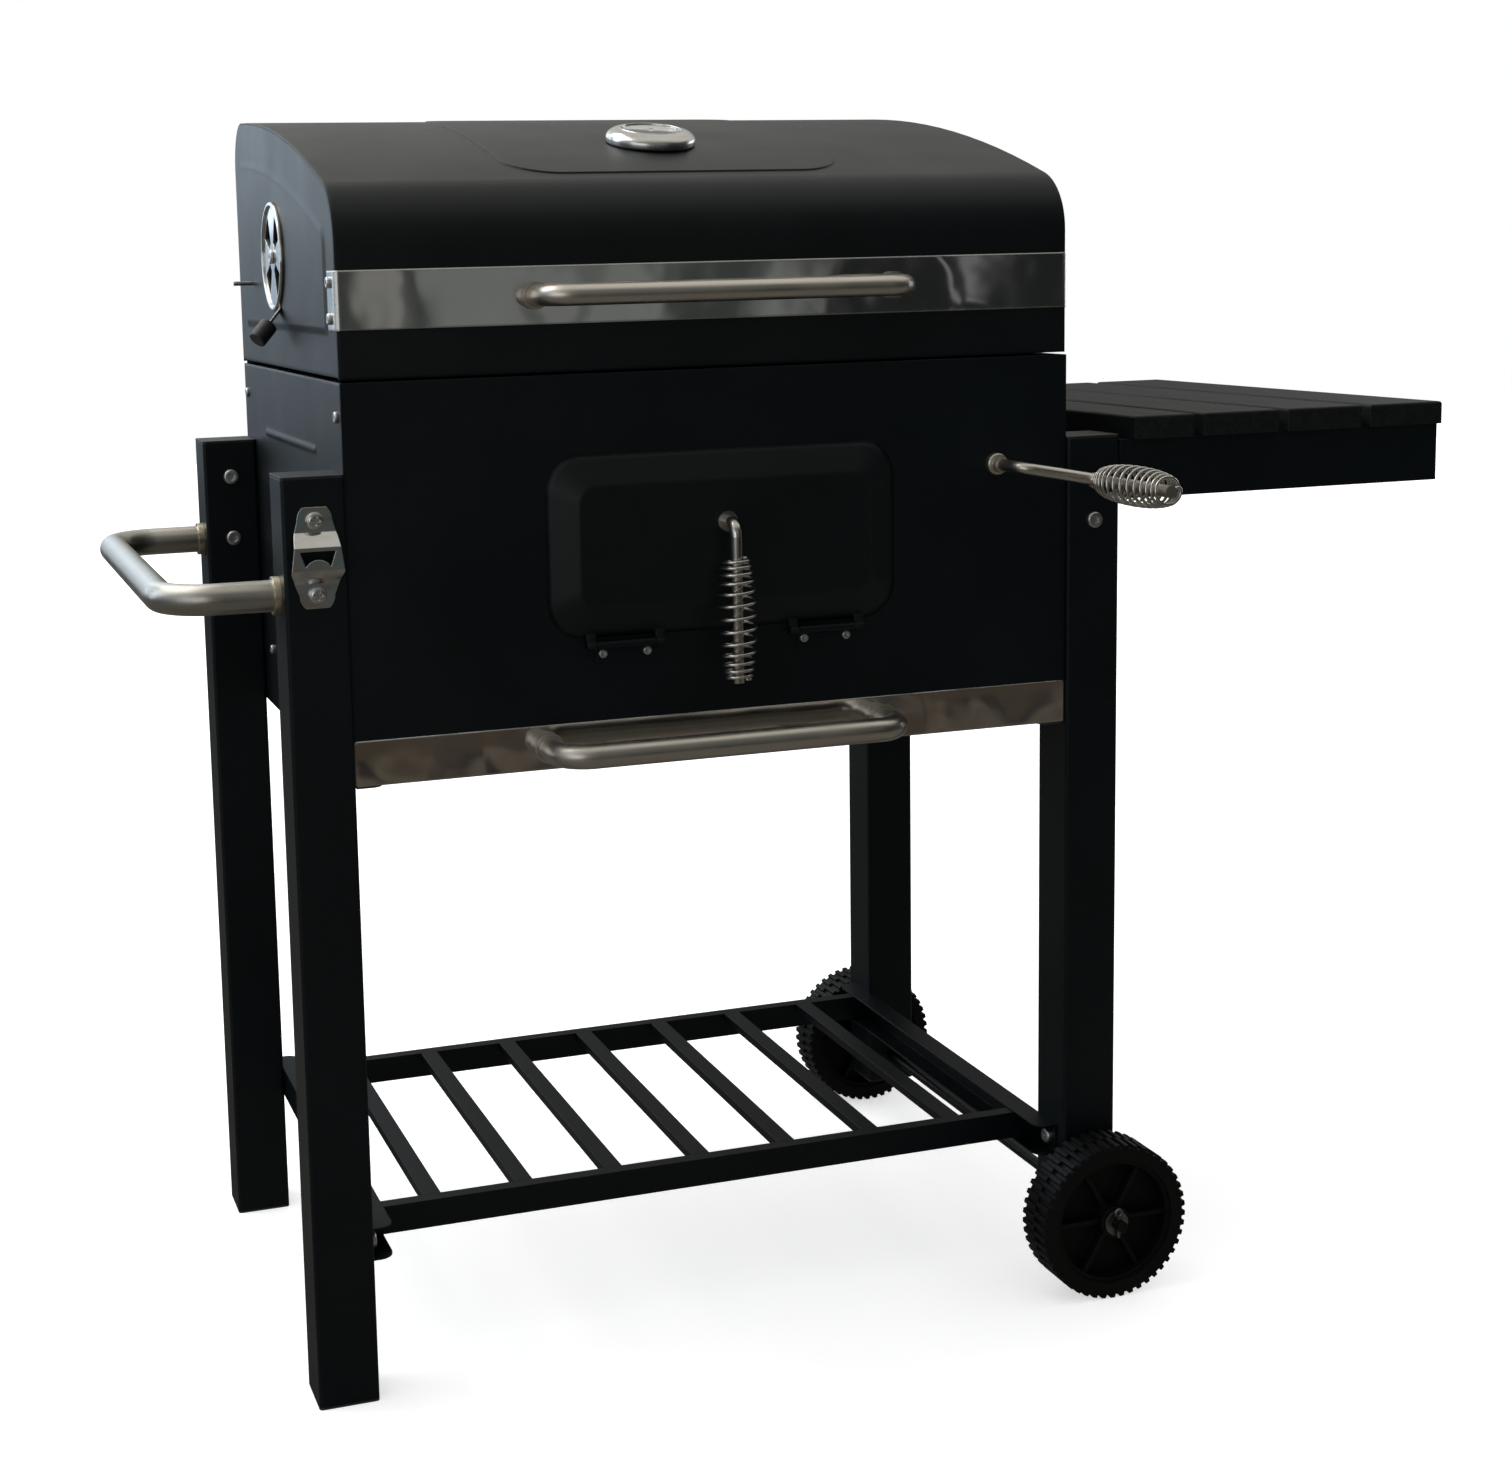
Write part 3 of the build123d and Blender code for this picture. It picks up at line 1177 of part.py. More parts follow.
save("gauge_needle", gauge_seat * Pos(0, 0, seat_up) * Rot(0, 0, 215) * needle)
stem = Pos(0, 0, -gauge_stem_l) * Cylinder(gauge_stem_r, gauge_stem_l + base_t - 0.4, align=low)
nut = extrude(Pos(0, 0, -sheet - seam - nut_t) * RegularPolygon(nut_r, 6), nut_t) - Cylinder(gauge_stem_r, 40)
save("gauge_stem", gauge_seat * Pos(0, 0, seat_up) * stem, gauge_seat * nut)

# Vent rosettes: a slotted disc on a rivet, with a tab bent out to a plastic knob
vent_x = -x_side - lid_press_out - vent_gap
disc = bar((vent_x - vent_t, vent_y, vent_z), (vent_x, vent_y, vent_z), vent_r)
rim_x = vent_x - vent_t - vent_rim_h
rim = ring((rim_x, vent_y, vent_z), (vent_x, vent_y, vent_z), vent_r, vent_r - vent_rim_w)
disc += fillet(rim.edges().group_by(Axis.X)[0], vent_rim_w * 0.4)
for cut in vent_slots(0):
    disc -= cut
tab_w = 12.0
tab_end = -vent_r - vent_tab_drop
tab_pts = [(0, -vent_r + 6), (0, -vent_r - 4), (-vent_tab_out, tab_end), (-vent_tab_out - vent_t, tab_end),
           (-vent_t, -vent_r - 3.2), (-vent_t, -vent_r + 6)]
tab = extrude(Plane.XZ * make_face(Polyline(*tab_pts, close=True)), tab_w / 2, both=True)
pull = Vector(-vent_tab_out, 0, -vent_tab_drop + 4).normalized()
knob_p = Vector(-vent_tab_out * 0.75, 0, -vent_r - 4 - (vent_tab_drop - 4) * 0.75)
knob_at = Plane(origin=knob_p, z_dir=pull)
knob = knob_at * fillet(Cylinder(knob_r, knob_l, align=low).edges().filter_by(GeomType.CIRCLE), 2.0)
knob -= tab
swing = Pos(vent_x, vent_y, vent_z) * Rot(vent_turn, 0, 0)
disc += swing * tab
disc -= bar((vent_x - 9, vent_y, vent_z), (vent_x + 9, vent_y, vent_z), vent_pin_r + rod_fit)
knob_solid = swing * knob
rivet = bolt((vent_x - vent_t - vent_gap, vent_y, vent_z), (-1, 0, 0), vent_pin_r,
             vent_t + 2 * vent_gap + lid_press_out + sheet + seam, *rivet_head)
for tag, turn_round in (("left", lambda s: s), ("right", mirrored)):
    save("vent_disc_" + tag, turn_round(disc))
    save("vent_knob_" + tag, turn_round(knob_solid))
save("lid_screws", *strip_screws, *both(rivet))

# Warming rack hung in the lid: it swings on two wire ends that come out through the lid ends
shelf_z = rack_pin_z - rack_drop
rack_x = x_side - 3 * sheet - 8.0
rack_span = (rack_pin_y - rack_half, rack_pin_y + rack_half)
warm = grid((-rack_x, rack_x), rack_span, shelf_z, rack_wire_r, rack_pitch)
hang = []
for side in (-1, 1):
    for way in (-1, 1):
        hang.append(bar((side * rack_x, rack_pin_y + way * (rack_half - 12.0), shelf_z),
                        (side * rack_x, rack_pin_y, rack_pin_z), rack_wire_r))
    start = (side * (rack_x - rack_wire_r), rack_pin_y, rack_pin_z)
    hang.append(bar(start, (side * (x_side + rack_pin_out), rack_pin_y, rack_pin_z), rack_wire_r))
save("warming_rack", warm.fuse(*hang))

# Lid hinges: a leaf on the back panel, a leaf on the lid, a pin through both
axis_z = box_top + lid_gap / 2
hinge_y = lid_back + hinge_out
leaf_t = 2.0
fixed_leaves = []
lid_leaves = []
hinge_pins = []
third = hinge_w / 3
for side in (-1, 1):
    cx = side * hinge_x
    half = hinge_w / 2
    low_leaf = block((cx - half, cx + half), (box_d, box_d + leaf_t), (axis_z - 36.0, axis_z - hinge_r - 1.0))
    for way in (-1, 1):
        x_pair = sorted((cx + way * half, cx + way * (third / 2 + 0.3)))
        low_leaf += bar((x_pair[0], hinge_y, axis_z), (x_pair[1], hinge_y, axis_z), hinge_r)
        low_leaf += block(x_pair, (box_d, hinge_y), (axis_z - hinge_r - 2.0, axis_z - hinge_r + leaf_t))
    pin_hole = Pos(cx, hinge_y, axis_z) * Rot(0, 90, 0) * Cylinder(hinge_pin_r + hinge_fit, 2 * hinge_w)
    low_leaf -= pin_hole
    fixed_leaves.append(low_leaf)
    high_leaf = block((cx - half, cx + half), (lid_back, lid_back + leaf_t),
                      (axis_z + hinge_r + 1.0, axis_z + 34.0))
    high_leaf += bar((cx - third / 2, hinge_y, axis_z), (cx + third / 2, hinge_y, axis_z), hinge_r)
    high_leaf += block((cx - third / 2, cx + third / 2), (lid_back, hinge_y),
                       (axis_z + hinge_r - leaf_t, axis_z + hinge_r + 2.0))
    high_leaf -= pin_hole
    lid_leaves.append(high_leaf)
    hinge_pins.append(bar((cx - half - 2, hinge_y, axis_z), (cx + half + 2, hinge_y, axis_z), hinge_pin_r))
save("hinge_leaves_fixed", *fixed_leaves, *hinge_pins)
save("hinge_leaves_lid", *lid_leaves)
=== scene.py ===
import json
import math
import bpy
import numpy as np
from mathutils import Matrix, Vector


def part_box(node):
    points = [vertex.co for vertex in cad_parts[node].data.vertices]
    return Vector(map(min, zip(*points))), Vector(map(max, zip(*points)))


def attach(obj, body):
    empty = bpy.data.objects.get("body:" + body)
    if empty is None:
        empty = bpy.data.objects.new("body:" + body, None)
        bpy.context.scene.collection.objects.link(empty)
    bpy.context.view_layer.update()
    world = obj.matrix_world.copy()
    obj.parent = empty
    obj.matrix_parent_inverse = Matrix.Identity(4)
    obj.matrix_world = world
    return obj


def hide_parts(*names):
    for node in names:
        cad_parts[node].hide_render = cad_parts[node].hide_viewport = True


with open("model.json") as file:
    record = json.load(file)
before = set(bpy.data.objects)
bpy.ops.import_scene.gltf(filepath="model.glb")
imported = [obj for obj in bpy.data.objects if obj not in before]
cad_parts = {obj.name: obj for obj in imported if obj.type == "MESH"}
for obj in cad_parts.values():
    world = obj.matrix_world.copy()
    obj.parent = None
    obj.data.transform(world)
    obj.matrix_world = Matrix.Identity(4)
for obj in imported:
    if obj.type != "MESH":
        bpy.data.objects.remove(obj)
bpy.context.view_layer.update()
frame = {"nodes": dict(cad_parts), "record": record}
nodes = frame["nodes"]


# The four legs are square steel tube, powder coated black, with plastic caps in their ends.
# The same coat covers the firebox, lid, table frame and shelf, so its shader is made here.
# It has a fine orange peel, slow cloudy changes of gloss, and edges rubbed a little grey.
def shader_of(name):
    """A new node material, with its tree, its shader and its object coordinates."""
    material = bpy.data.materials.new(name)
    material.use_nodes = True
    tree = material.node_tree
    coords = tree.nodes.new("ShaderNodeTexCoord")
    return material, tree, tree.nodes["Principled BSDF"], coords.outputs["Object"]


def noise(tree, vector, scale, detail=2.0, rough=0.5, stretch=None, swirl=0.0):
    """A noise value on the object's own coordinates, stretched along an axis or swirled where asked."""
    if stretch:
        mapping = tree.nodes.new("ShaderNodeMapping")
        mapping.inputs["Scale"].default_value = stretch
        tree.links.new(vector, mapping.inputs["Vector"])
        vector = mapping.outputs["Vector"]
    node = tree.nodes.new("ShaderNodeTexNoise")
    node.inputs["Scale"].default_value = scale
    node.inputs["Detail"].default_value = detail
    node.inputs["Roughness"].default_value = rough
    node.inputs["Distortion"].default_value = swirl
    tree.links.new(vector, node.inputs["Vector"])
    return node.outputs["Fac"]


def spread(tree, value, low, high, start=0.3, end=0.7):
    """A value from low to high as another goes from start to end."""
    node = tree.nodes.new("ShaderNodeMapRange")
    node.inputs["From Min"].default_value = start
    node.inputs["From Max"].default_value = end
    node.inputs["To Min"].default_value = low
    node.inputs["To Max"].default_value = high
    tree.links.new(value, node.inputs["Value"])
    return node.outputs["Result"]


def tint(tree, value, dark, light, start=0.3, end=0.7):
    """A colour from dark to light as the value goes from start to end."""
    node = tree.nodes.new("ShaderNodeValToRGB")
    node.color_ramp.elements[0].position = start
    node.color_ramp.elements[0].color = (*dark, 1)
    node.color_ramp.elements[1].position = end
    node.color_ramp.elements[1].color = (*light, 1)
    tree.links.new(value, node.inputs["Fac"])
    return node.outputs["Color"]


def blended(tree, share, first, second):
    """One colour over another, by a share from nought to one."""
    node = tree.nodes.new("ShaderNodeMix")
    node.data_type = "RGBA"
    tree.links.new(share, node.inputs["Factor"])
    for socket, colour in (("A_Color", first), ("B_Color", second)):
        target = next(i for i in node.inputs if i.identifier == socket)
        if isinstance(colour, tuple):
            target.default_value = (*colour, 1)
        else:
            tree.links.new(colour, target)
    return next(o for o in node.outputs if o.identifier == "Result_Color")


def times(tree, a, b):
    """The product of two values."""
    node = tree.nodes.new("ShaderNodeMath")
    node.operation = "MULTIPLY"
    tree.links.new(a, node.inputs[0])
    tree.links.new(b, node.inputs[1])
    return node.outputs["Value"]


def soft_edge(tree, radius):
    """The normal over edges rounded by radius, as bent and stamped sheet has them."""
    node = tree.nodes.new("ShaderNodeBevel")
    node.samples = 4
    node.inputs["Radius"].default_value = radius
    return node.outputs["Normal"]


def bumped(tree, value, strength, depth, edge):
    """The normal of a bump of the given depth in metres, on top of rounded edges where there are any."""
    node = tree.nodes.new("ShaderNodeBump")
    node.inputs["Strength"].default_value = strength
    node.inputs["Distance"].default_value = depth
    tree.links.new(value, node.inputs["Height"])
    if edge:
        tree.links.new(edge, node.inputs["Normal"])
    return node.outputs["Normal"]


def rubbed(tree, at, edge, patch_scale):
    """Where an edge has been rubbed: one on patches of edge, nought on flat faces."""
    here = tree.nodes.new("ShaderNodeNewGeometry")
    turn = tree.nodes.new("ShaderNodeVectorMath")
    turn.operation = "DOT_PRODUCT"
    tree.links.new(edge, turn.inputs[0])
    tree.links.new(here.outputs["Normal"], turn.inputs[1])
    bend = spread(tree, turn.outputs["Value"], 1.0, 0.0, start=0.84, end=0.97)
    patches = spread(tree, noise(tree, at, patch_scale, detail=3.0), 0.0, 1.0, start=0.44, end=0.66)
    return times(tree, bend, patches)


def coat(name, dark, light, worn, rough, shine, peel, bend=0.0012):
    """Powder coat: cloudy colour, rubbed edges, uneven gloss and a fine orange peel."""
    cloud_scale, patch_scale, gloss_scale, peel_scale = 7.0, 70.0, 14.0, 520.0
    gloss_change, peel_strength = 0.02, 0.07
    material, tree, shader, at = shader_of(name)
    edge = soft_edge(tree, bend)
    cloud = tint(tree, noise(tree, at, cloud_scale, detail=4.0), dark, light)
    colour = blended(tree, rubbed(tree, at, edge, patch_scale), cloud, worn)
    tree.links.new(colour, shader.inputs["Base Color"])
    gloss = spread(tree, noise(tree, at, gloss_scale), rough - gloss_change, rough + gloss_change)
    tree.links.new(gloss, shader.inputs["Roughness"])
    shader.inputs["Specular IOR Level"].default_value = shine
    skin = bumped(tree, noise(tree, at, peel_scale), peel_strength, peel, edge)
    tree.links.new(skin, shader.inputs["Normal"])
    return material


def dress(material, *names):
    """Give CAD nodes a material."""
    for name in names:
        nodes[name].data.materials.clear()
        nodes[name].data.materials.append(material)


coat_dark, coat_light = (0.0005, 0.0032, 0.0046), (0.0012, 0.0045, 0.0063)
black_coat = coat("black_coat", coat_dark, coat_light, worn=(0.009, 0.0125, 0.0140),
                  rough=0.42, shine=0.22, peel=0.0004)
dress(black_coat, "legs_left", "legs_right")
cap_plastic = coat("cap_plastic", (0.007, 0.007, 0.008), (0.012, 0.012, 0.013), worn=(0.016, 0.016, 0.016),
                   rough=0.48, shine=0.40, peel=0.0004)
dress(cap_plastic, "leg_caps")

# The firebox is bent sheet, screwed and bolted at its corners, in the same black coat.
# The back panel's top edge is rolled into a hem, so that no raw edge shows under the lid.
# Inside, heat and ash dull the coat, so the pan, grate ledges, runners and lift are rougher and greyer.
dress(black_coat, "front_panel", "back_panel", "door_straps")
pressed_coat = coat("pressed_coat", coat_dark, coat_light, worn=(0.005, 0.0082, 0.0100),
                    rough=0.42, shine=0.30, peel=0.0004, bend=0.0040)
dress(pressed_coat, "side_panels", "charcoal_door")


def mesh_piece(name, points, faces, material, body):
    """A smooth mesh at the origin, in the given material, that rides on a body."""
    mesh = bpy.data.meshes.new(name)
    mesh.from_pydata(points.reshape(-1, 3).tolist(), [], faces)
    mesh.polygons.foreach_set("use_smooth", [True] * len(mesh.polygons))
    mesh.update()
    mesh.materials.append(material)
    piece = bpy.data.objects.new(name, mesh)
    bpy.context.scene.collection.objects.link(piece)
    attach(piece, body)
    return piece


def net(rows, columns, wrap_rows=False):
    """Quads over a grid whose columns go round, and whose rows go round too where asked."""
    i = np.arange(rows if wrap_rows else rows - 1)[:, None] * columns
    j = np.arange(columns)[None, :]
    i_next = (i + columns) % (rows * columns)
    j_next = (j + 1) % columns
    return np.stack([i + j, i + j_next, i_next + j_next, i_next + j], 2).reshape(-1, 4).tolist()


def end_caps(rows, columns):
    """One face over each end of such a grid."""
    return [list(range(columns))[::-1], list(range((rows - 1) * columns, rows * columns))]


def hem(name, x_from, x_to, middle_y, middle_z, half_y, half_z):
    """An elliptic rod along X, with y = middle + half_y cos(t) and z = middle + half_z sin(t)."""
    sides = 20
    t = np.linspace(0, 2 * np.pi, sides, endpoint=False)[None, :]
    x = np.array([x_from, x_to])[:, None]
    ring = np.broadcast_arrays(x, middle_y + half_y * np.cos(t), middle_z + half_z * np.sin(t))
    mesh_piece(name, np.stack(ring, 2), net(2, sides) + end_caps(2, sides), black_coat, "cart")


hem_inset, hem_set_back, hem_rise = 0.0018, 0.006, 0.0008
low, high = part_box("back_panel")
hem("back_hem", low[0] + hem_inset, high[0] - hem_inset, high[1] - hem_set_back, high[2] + hem_rise,
    half_y=0.0016, half_z=0.0022)
sooty = coat("sooty", (0.010, 0.010, 0.010), (0.030, 0.028, 0.027), worn=(0.045, 0.042, 0.040),
             rough=0.68, shine=0.30, peel=0.0008)
dress(sooty, "drawer_runners", "rack_guides", "grate_ledges", "lift_frame", "charcoal_pan", "ash_tray")


# Bolts and screws are zinc plated: pale grey, with a soft sheen and tiny scratches.
# The axle is blackened rod, and its washers and split pins are plated steel gone dull.
def metal(name, dark, light, rough, scratch, strength, stretch=None, bend=0.0008):
    """Bare metal: slightly uneven colour and gloss, and fine lines, which may lie along one axis."""
    smear_scale, line_depth = 24.0, 0.0001
    material, tree, shader, at = shader_of(name)
    shader.inputs["Metallic"].default_value = 1.0
    lines = noise(tree, at, scratch, detail=3.0, rough=0.6, stretch=stretch)
    tree.links.new(tint(tree, lines, dark, light), shader.inputs["Base Color"])
    smears = noise(tree, at, smear_scale, detail=3.0)
    tree.links.new(spread(tree, smears, rough * 0.8, rough * 1.2), shader.inputs["Roughness"])
    skin = bumped(tree, lines, strength, line_depth, soft_edge(tree, bend) if bend else None)
    tree.links.new(skin, shader.inputs["Normal"])
    return material


zinc = metal("zinc", (0.58, 0.58, 0.57), (0.68, 0.68, 0.67), rough=0.38, scratch=300.0, strength=0.05)
dress(zinc, "small_screws", "frame_bolts", "cross_bolts", "lid_screws", "gauge_stem")
blackened = metal("blackened", (0.020, 0.021, 0.022), (0.045, 0.046, 0.047), rough=0.40, scratch=200.0,
                  strength=0.06)
dress(blackened, "axle")
dull_zinc = metal("dull_zinc", (0.16, 0.16, 0.155), (0.30, 0.30, 0.29), rough=0.38, scratch=160.0,
                  strength=0.06)
dress(dull_zinc, "axle_fittings")

# The push handle is stainless tube with a satin grind, let into the left legs through ferrules.
# The grind's lines go round the tube, so they lie across its run. The ferrules are yellow zinc.
# Its steel is a darker copy of the handles' satin steel: painted shade against the bright lamp and window on
# its left.
satin_push_painted_shade = metal("satin_push_painted_shade", (0.44, 0.42, 0.38), (0.48, 0.46, 0.42), rough=0.35, scratch=260.0,
                   strength=0.012, stretch=(1, 6, 1), bend=None)
dress(satin_push_painted_shade, "cart_handle")
yellow_zinc = metal("yellow_zinc", (0.66, 0.60, 0.44), (0.74, 0.68, 0.52), rough=0.32, scratch=300.0,
                    strength=0.03)
dress(yellow_zinc, "cart_ferrules")


# The bottle opener is pressed from polished stainless strip and held by two pan-head screws.
# Each screw is a low dome with a cross recess driven into it, over the shank in the leg.
def drawn_in(tree, at, feet, edge):
    """The normal of sheet that dips smoothly towards each point where something is screwed to it."""
    dip_reach, dip_depth, uneven_scale = 0.056, 0.0006, 12.0
    uneven = spread(tree, noise(tree, at, uneven_scale, detail=1.0, rough=0.4), 0.80, 1.25)
    height = None
    for foot in feet:
        apart = tree.nodes.new("ShaderNodeVectorMath")
        apart.operation = "DISTANCE"
        tree.links.new(at, apart.inputs[0])
        apart.inputs[1].default_value = foot
        away = times(tree, apart.outputs["Value"], uneven)
        rise = spread(tree, away, 0.0, 1.0, start=0.0, end=dip_reach)
        rise.node.interpolation_type = "SMOOTHSTEP"
        height = times(tree, height, rise) if height else rise
    return bumped(tree, height, 1.0, dip_depth, edge)


def polished_sheet(name, rough, wave_scale, wave_depth, wave_strength, bend=0.0010, feet=()):
    """Polished stainless: nearly a mirror, with faint smears, slow waves and dips under its fixings."""
    smear_scale = 16.0
    material, tree, shader, at = shader_of(name)
    shader.inputs["Metallic"].default_value = 1.0
    smears = noise(tree, at, smear_scale, detail=4.0, rough=0.6)
    tree.links.new(tint(tree, smears, (0.60, 0.59, 0.57), (0.68, 0.67, 0.65)), shader.inputs["Base Color"])
    tree.links.new(spread(tree, smears, rough * 0.7, rough * 1.5), shader.inputs["Roughness"])
    edge = soft_edge(tree, bend)
    edge = drawn_in(tree, at, feet, edge) if feet else edge
    waves = noise(tree, at, wave_scale, detail=1.5, rough=0.45)
    tree.links.new(bumped(tree, waves, wave_strength, wave_depth, edge), shader.inputs["Normal"])
    return material


opener_steel = polished_sheet("opener_steel", rough=0.12, wave_scale=45.0, wave_depth=0.0020,
                              wave_strength=0.7)
dress(opener_steel, "bottle_opener")
bright_zinc = metal("bright_zinc", (0.58, 0.58, 0.57), (0.66, 0.66, 0.65), rough=0.22, scratch=300.0,
                    strength=0.05, bend=None)


def pan_head(name, seat, radius, height):
    """z(r) = h (1 - (r / R)^4)^(1/2) over a disc, less a cross of two slots that fade out at their ends."""
    share = np.concatenate([[0.004], np.linspace(0.05, 0.96, 22), [0.985, 1.0]])[:, None]
    angle = np.linspace(0, 2 * np.pi, 64, endpoint=False)[None, :]
    x = radius * share * np.cos(angle)
    z = radius * share * np.sin(angle)
    dome = height * np.sqrt(np.clip(1 - share ** 4, 0, 1))
    slot_half, slot_run, slot_depth = 0.15 * radius, 0.56 * radius, 0.34 * height
    side_fade, end_fade = 0.06 * radius, 0.16 * radius

    def slot(across, lengthways):
        """One inside a slot, falling to nought at its sides and ends."""
        within_sides = np.clip((slot_half - np.abs(across)) / side_fade, 0, 1)
        return within_sides * np.clip((slot_run - np.abs(lengthways)) / end_fade, 0, 1)

    out = dome - slot_depth * np.maximum(slot(x, z), slot(z, x))
    points = np.stack([seat[0] + x, seat[1] - out, seat[2] + z], 2)
    rows, columns = points.shape[:2]
    outward = [face[::-1] for face in net(rows, columns) + end_caps(rows, columns)]
    mesh_piece(name, points, outward, bright_zinc, "cart")


opener_seat_out, opener_screw_off = 0.0021, 0.029
low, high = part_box("bottle_opener")
for name, side in (("opener_screw_top", 1), ("opener_screw_low", -1)):
    screw_z = (low[2] + high[2]) / 2 + side * opener_screw_off
    screw_seat = ((low[0] + high[0]) / 2, high[1] - opener_seat_out, screw_z)
    pan_head(name, screw_seat, radius=0.0073, height=0.0046)

# The side table is four stained planks on a bent sheet frame; the planks run from front to back.
# Grain shows as long dark streaks along the plank, a little raised.
grain_scale, grain_along_plank, grain_depth, plank_round = 60.0, (4, 0.25, 4), 0.0006, 0.0015
plank, tree, shader, at = shader_of("plank")
grain = noise(tree, at, grain_scale, detail=5.0, rough=0.6, stretch=grain_along_plank)
plank_edge = soft_edge(tree, plank_round)
stain = tint(tree, grain, (0.0010, 0.0024, 0.0036), (0.0032, 0.0056, 0.0072))
worn_stain = blended(tree, rubbed(tree, at, plank_edge, patch_scale=50.0), stain, (0.008, 0.010, 0.011))
tree.links.new(worn_stain, shader.inputs["Base Color"])
tree.links.new(spread(tree, grain, 0.46, 0.64), shader.inputs["Roughness"])
shader.inputs["Specular IOR Level"].default_value = 0.32
tree.links.new(bumped(tree, grain, 0.30, grain_depth, plank_edge), shader.inputs["Normal"])
dress(plank, "table_planks")
dress(black_coat, "table_apron")

# The bottom shelf is two bent channels bolted to the legs, two box rails and welded flat slats.
# All of it is coated in one go after welding, in the same black.
dress(black_coat, "shelf_channels", "shelf_rails", "shelf_slats")

# The wheels are moulded in one piece from black plastic, slightly grey where the tread has scuffed.
# They turn on the blackened axle and are kept on it by a washer and a split pin.
wheel_plastic = coat("wheel_plastic", (0.0012, 0.0013, 0.0013), (0.0026, 0.0027, 0.0027),
                     worn=(0.006, 0.006, 0.006), rough=0.55, shine=0.22, peel=0.0005)
dress(wheel_plastic, "wheel_front", "wheel_rear")


# The ash drawer's front is a strip of polished stainless, slightly wavy, with a satin bow handle.
# The handle's ends sit in ferrules of the same steel, and their screws draw the strip in a little.
def handle_feet(node):
    """The middles of a bow handle's two ferrules, on the sheet that they stand on."""
    low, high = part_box(node)
    half = (high[2] - low[2]) / 2
    return [(x, high[1], low[2] + half) for x in (low[0] + half, high[0] - half)]


def strip_steel(name, ferrules):
    """The polished strip under a bow handle, drawn in at the handle's feet."""
    return polished_sheet(name, rough=0.045, wave_scale=13.0, wave_depth=0.0020, wave_strength=0.5,
                          bend=0.0022, feet=handle_feet(ferrules))


def satin(name, stretch):
    """Satin stainless, with its fine lines across the axis that is stretched."""
    return metal(name, (0.62, 0.58, 0.52), (0.66, 0.62, 0.56), rough=0.35, scratch=260.0, strength=0.012,
                 stretch=stretch, bend=None)


dress(strip_steel("drawer_steel", "drawer_ferrules"), "drawer_strip")
satin_x, satin_y = satin("satin_x", (6, 1, 1)), satin("satin_y", (1, 6, 1))
dress(satin_y, "drawer_ferrules")
dress(satin_x, "drawer_handle")

# The stoking door's pull is a bent steel rod inside a barrel spring, which stays cool to the hand.
# The spring is wound wire: its turns open out in the middle, and its ends close in on the rod.
satin_z = metal("satin_z", (0.60, 0.58, 0.55), (0.66, 0.64, 0.60), rough=0.18, scratch=320.0, strength=0.02,
                stretch=(1, 1, 4), bend=None)
dress(satin_z, "door_pull", "pull_rosette")
spring_wire = metal("spring_wire", (0.62, 0.60, 0.57), (0.68, 0.66, 0.63), rough=0.18, scratch=500.0,
                    strength=0.02, bend=None)
spring_run, spring_start, rod_r = 0.098, 0.003, 0.005


def barrel_spring(name, origin, along, across, body, node):
    """Wire on r(u) = r0 + (rm - r0) sin(pi u), angle 2 pi n u and height L (u - c sin(2 pi u) / 2 pi).

    Each end turns inwards on a quarter circle and runs straight on to the rod.
    """
    turns, steps_in_turn, opening = 13, 44, 0.42
    end_r, mid_r, wire_r, wire_sides = 0.0104, 0.0155, 0.0013, 14
    u = np.linspace(0, 1, turns * steps_in_turn + 1)
    radius = end_r + (mid_r - end_r) * np.sin(np.pi * u)
    angle = 2 * np.pi * turns * u
    height = spring_run * (u - opening * np.sin(2 * np.pi * u) / (2 * np.pi))
    coil = np.stack([radius * np.cos(angle), radius * np.sin(angle), height], 1)
    turn_r = 2.2 * wire_r
    phi = np.linspace(0, np.pi / 2, 9)[1:, None]

    def tail(end, before):
        """The quarter circle and the straight run from one end of the coil to the rod."""
        onward = (end - before) / np.linalg.norm(end - before)
        inward = np.array([-end[0], -end[1], 0]) / math.hypot(end[0], end[1])
        bend = end + inward * turn_r * (1 - np.cos(phi)) + onward * turn_r * np.sin(phi)
        return np.vstack([bend, bend[-1] + inward * (end_r - turn_r - rod_r)])

    path = np.vstack([tail(coil[0], coil[1])[::-1], coil, tail(coil[-1], coil[-2])])
    run = np.gradient(path, axis=0)
    run /= np.linalg.norm(run, axis=1)[:, None]
    up = np.array([0, 0, 1.0]) - run * run[:, 2:3]
    up /= np.linalg.norm(up, axis=1)[:, None]
    side = np.cross(run, up)
    ring = np.linspace(0, 2 * np.pi, wire_sides, endpoint=False)[None, :, None]
    tube = path[:, None, :] + wire_r * (np.cos(ring) * up[:, None, :] + np.sin(ring) * side[:, None, :])
    points = np.asarray(origin) + tube @ np.stack([across, np.cross(along, across), along])
    faces = net(len(path), wire_sides) + end_caps(len(path), wire_sides)
    piece = mesh_piece(name, points, faces, spring_wire, body)
    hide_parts(node)


low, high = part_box("door_pull")
pull_top = ((low[0] + high[0]) / 2, low[1] + rod_r, low[2] + spring_start + spring_run)
barrel_spring("door_spring_wire", pull_top, (0, 0, -1), (1, 0, 0), "door", "door_spring")

# The crank is a rod bent twice, turning in a flanged bush, with the same spring as its grip.
# Its shaft runs to the back and carries the two pinions that raise the charcoal pan.
dress(satin_y, "crank_rod", "crank_bushes", "pinions")
low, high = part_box("crank_rod")
grip_end = (high[0] - rod_r, low[1] + spring_start + spring_run, low[2] + rod_r)
barrel_spring("crank_spring_wire", grip_end, (0, -1, 0), (1, 0, 0), "crank", "crank_spring")

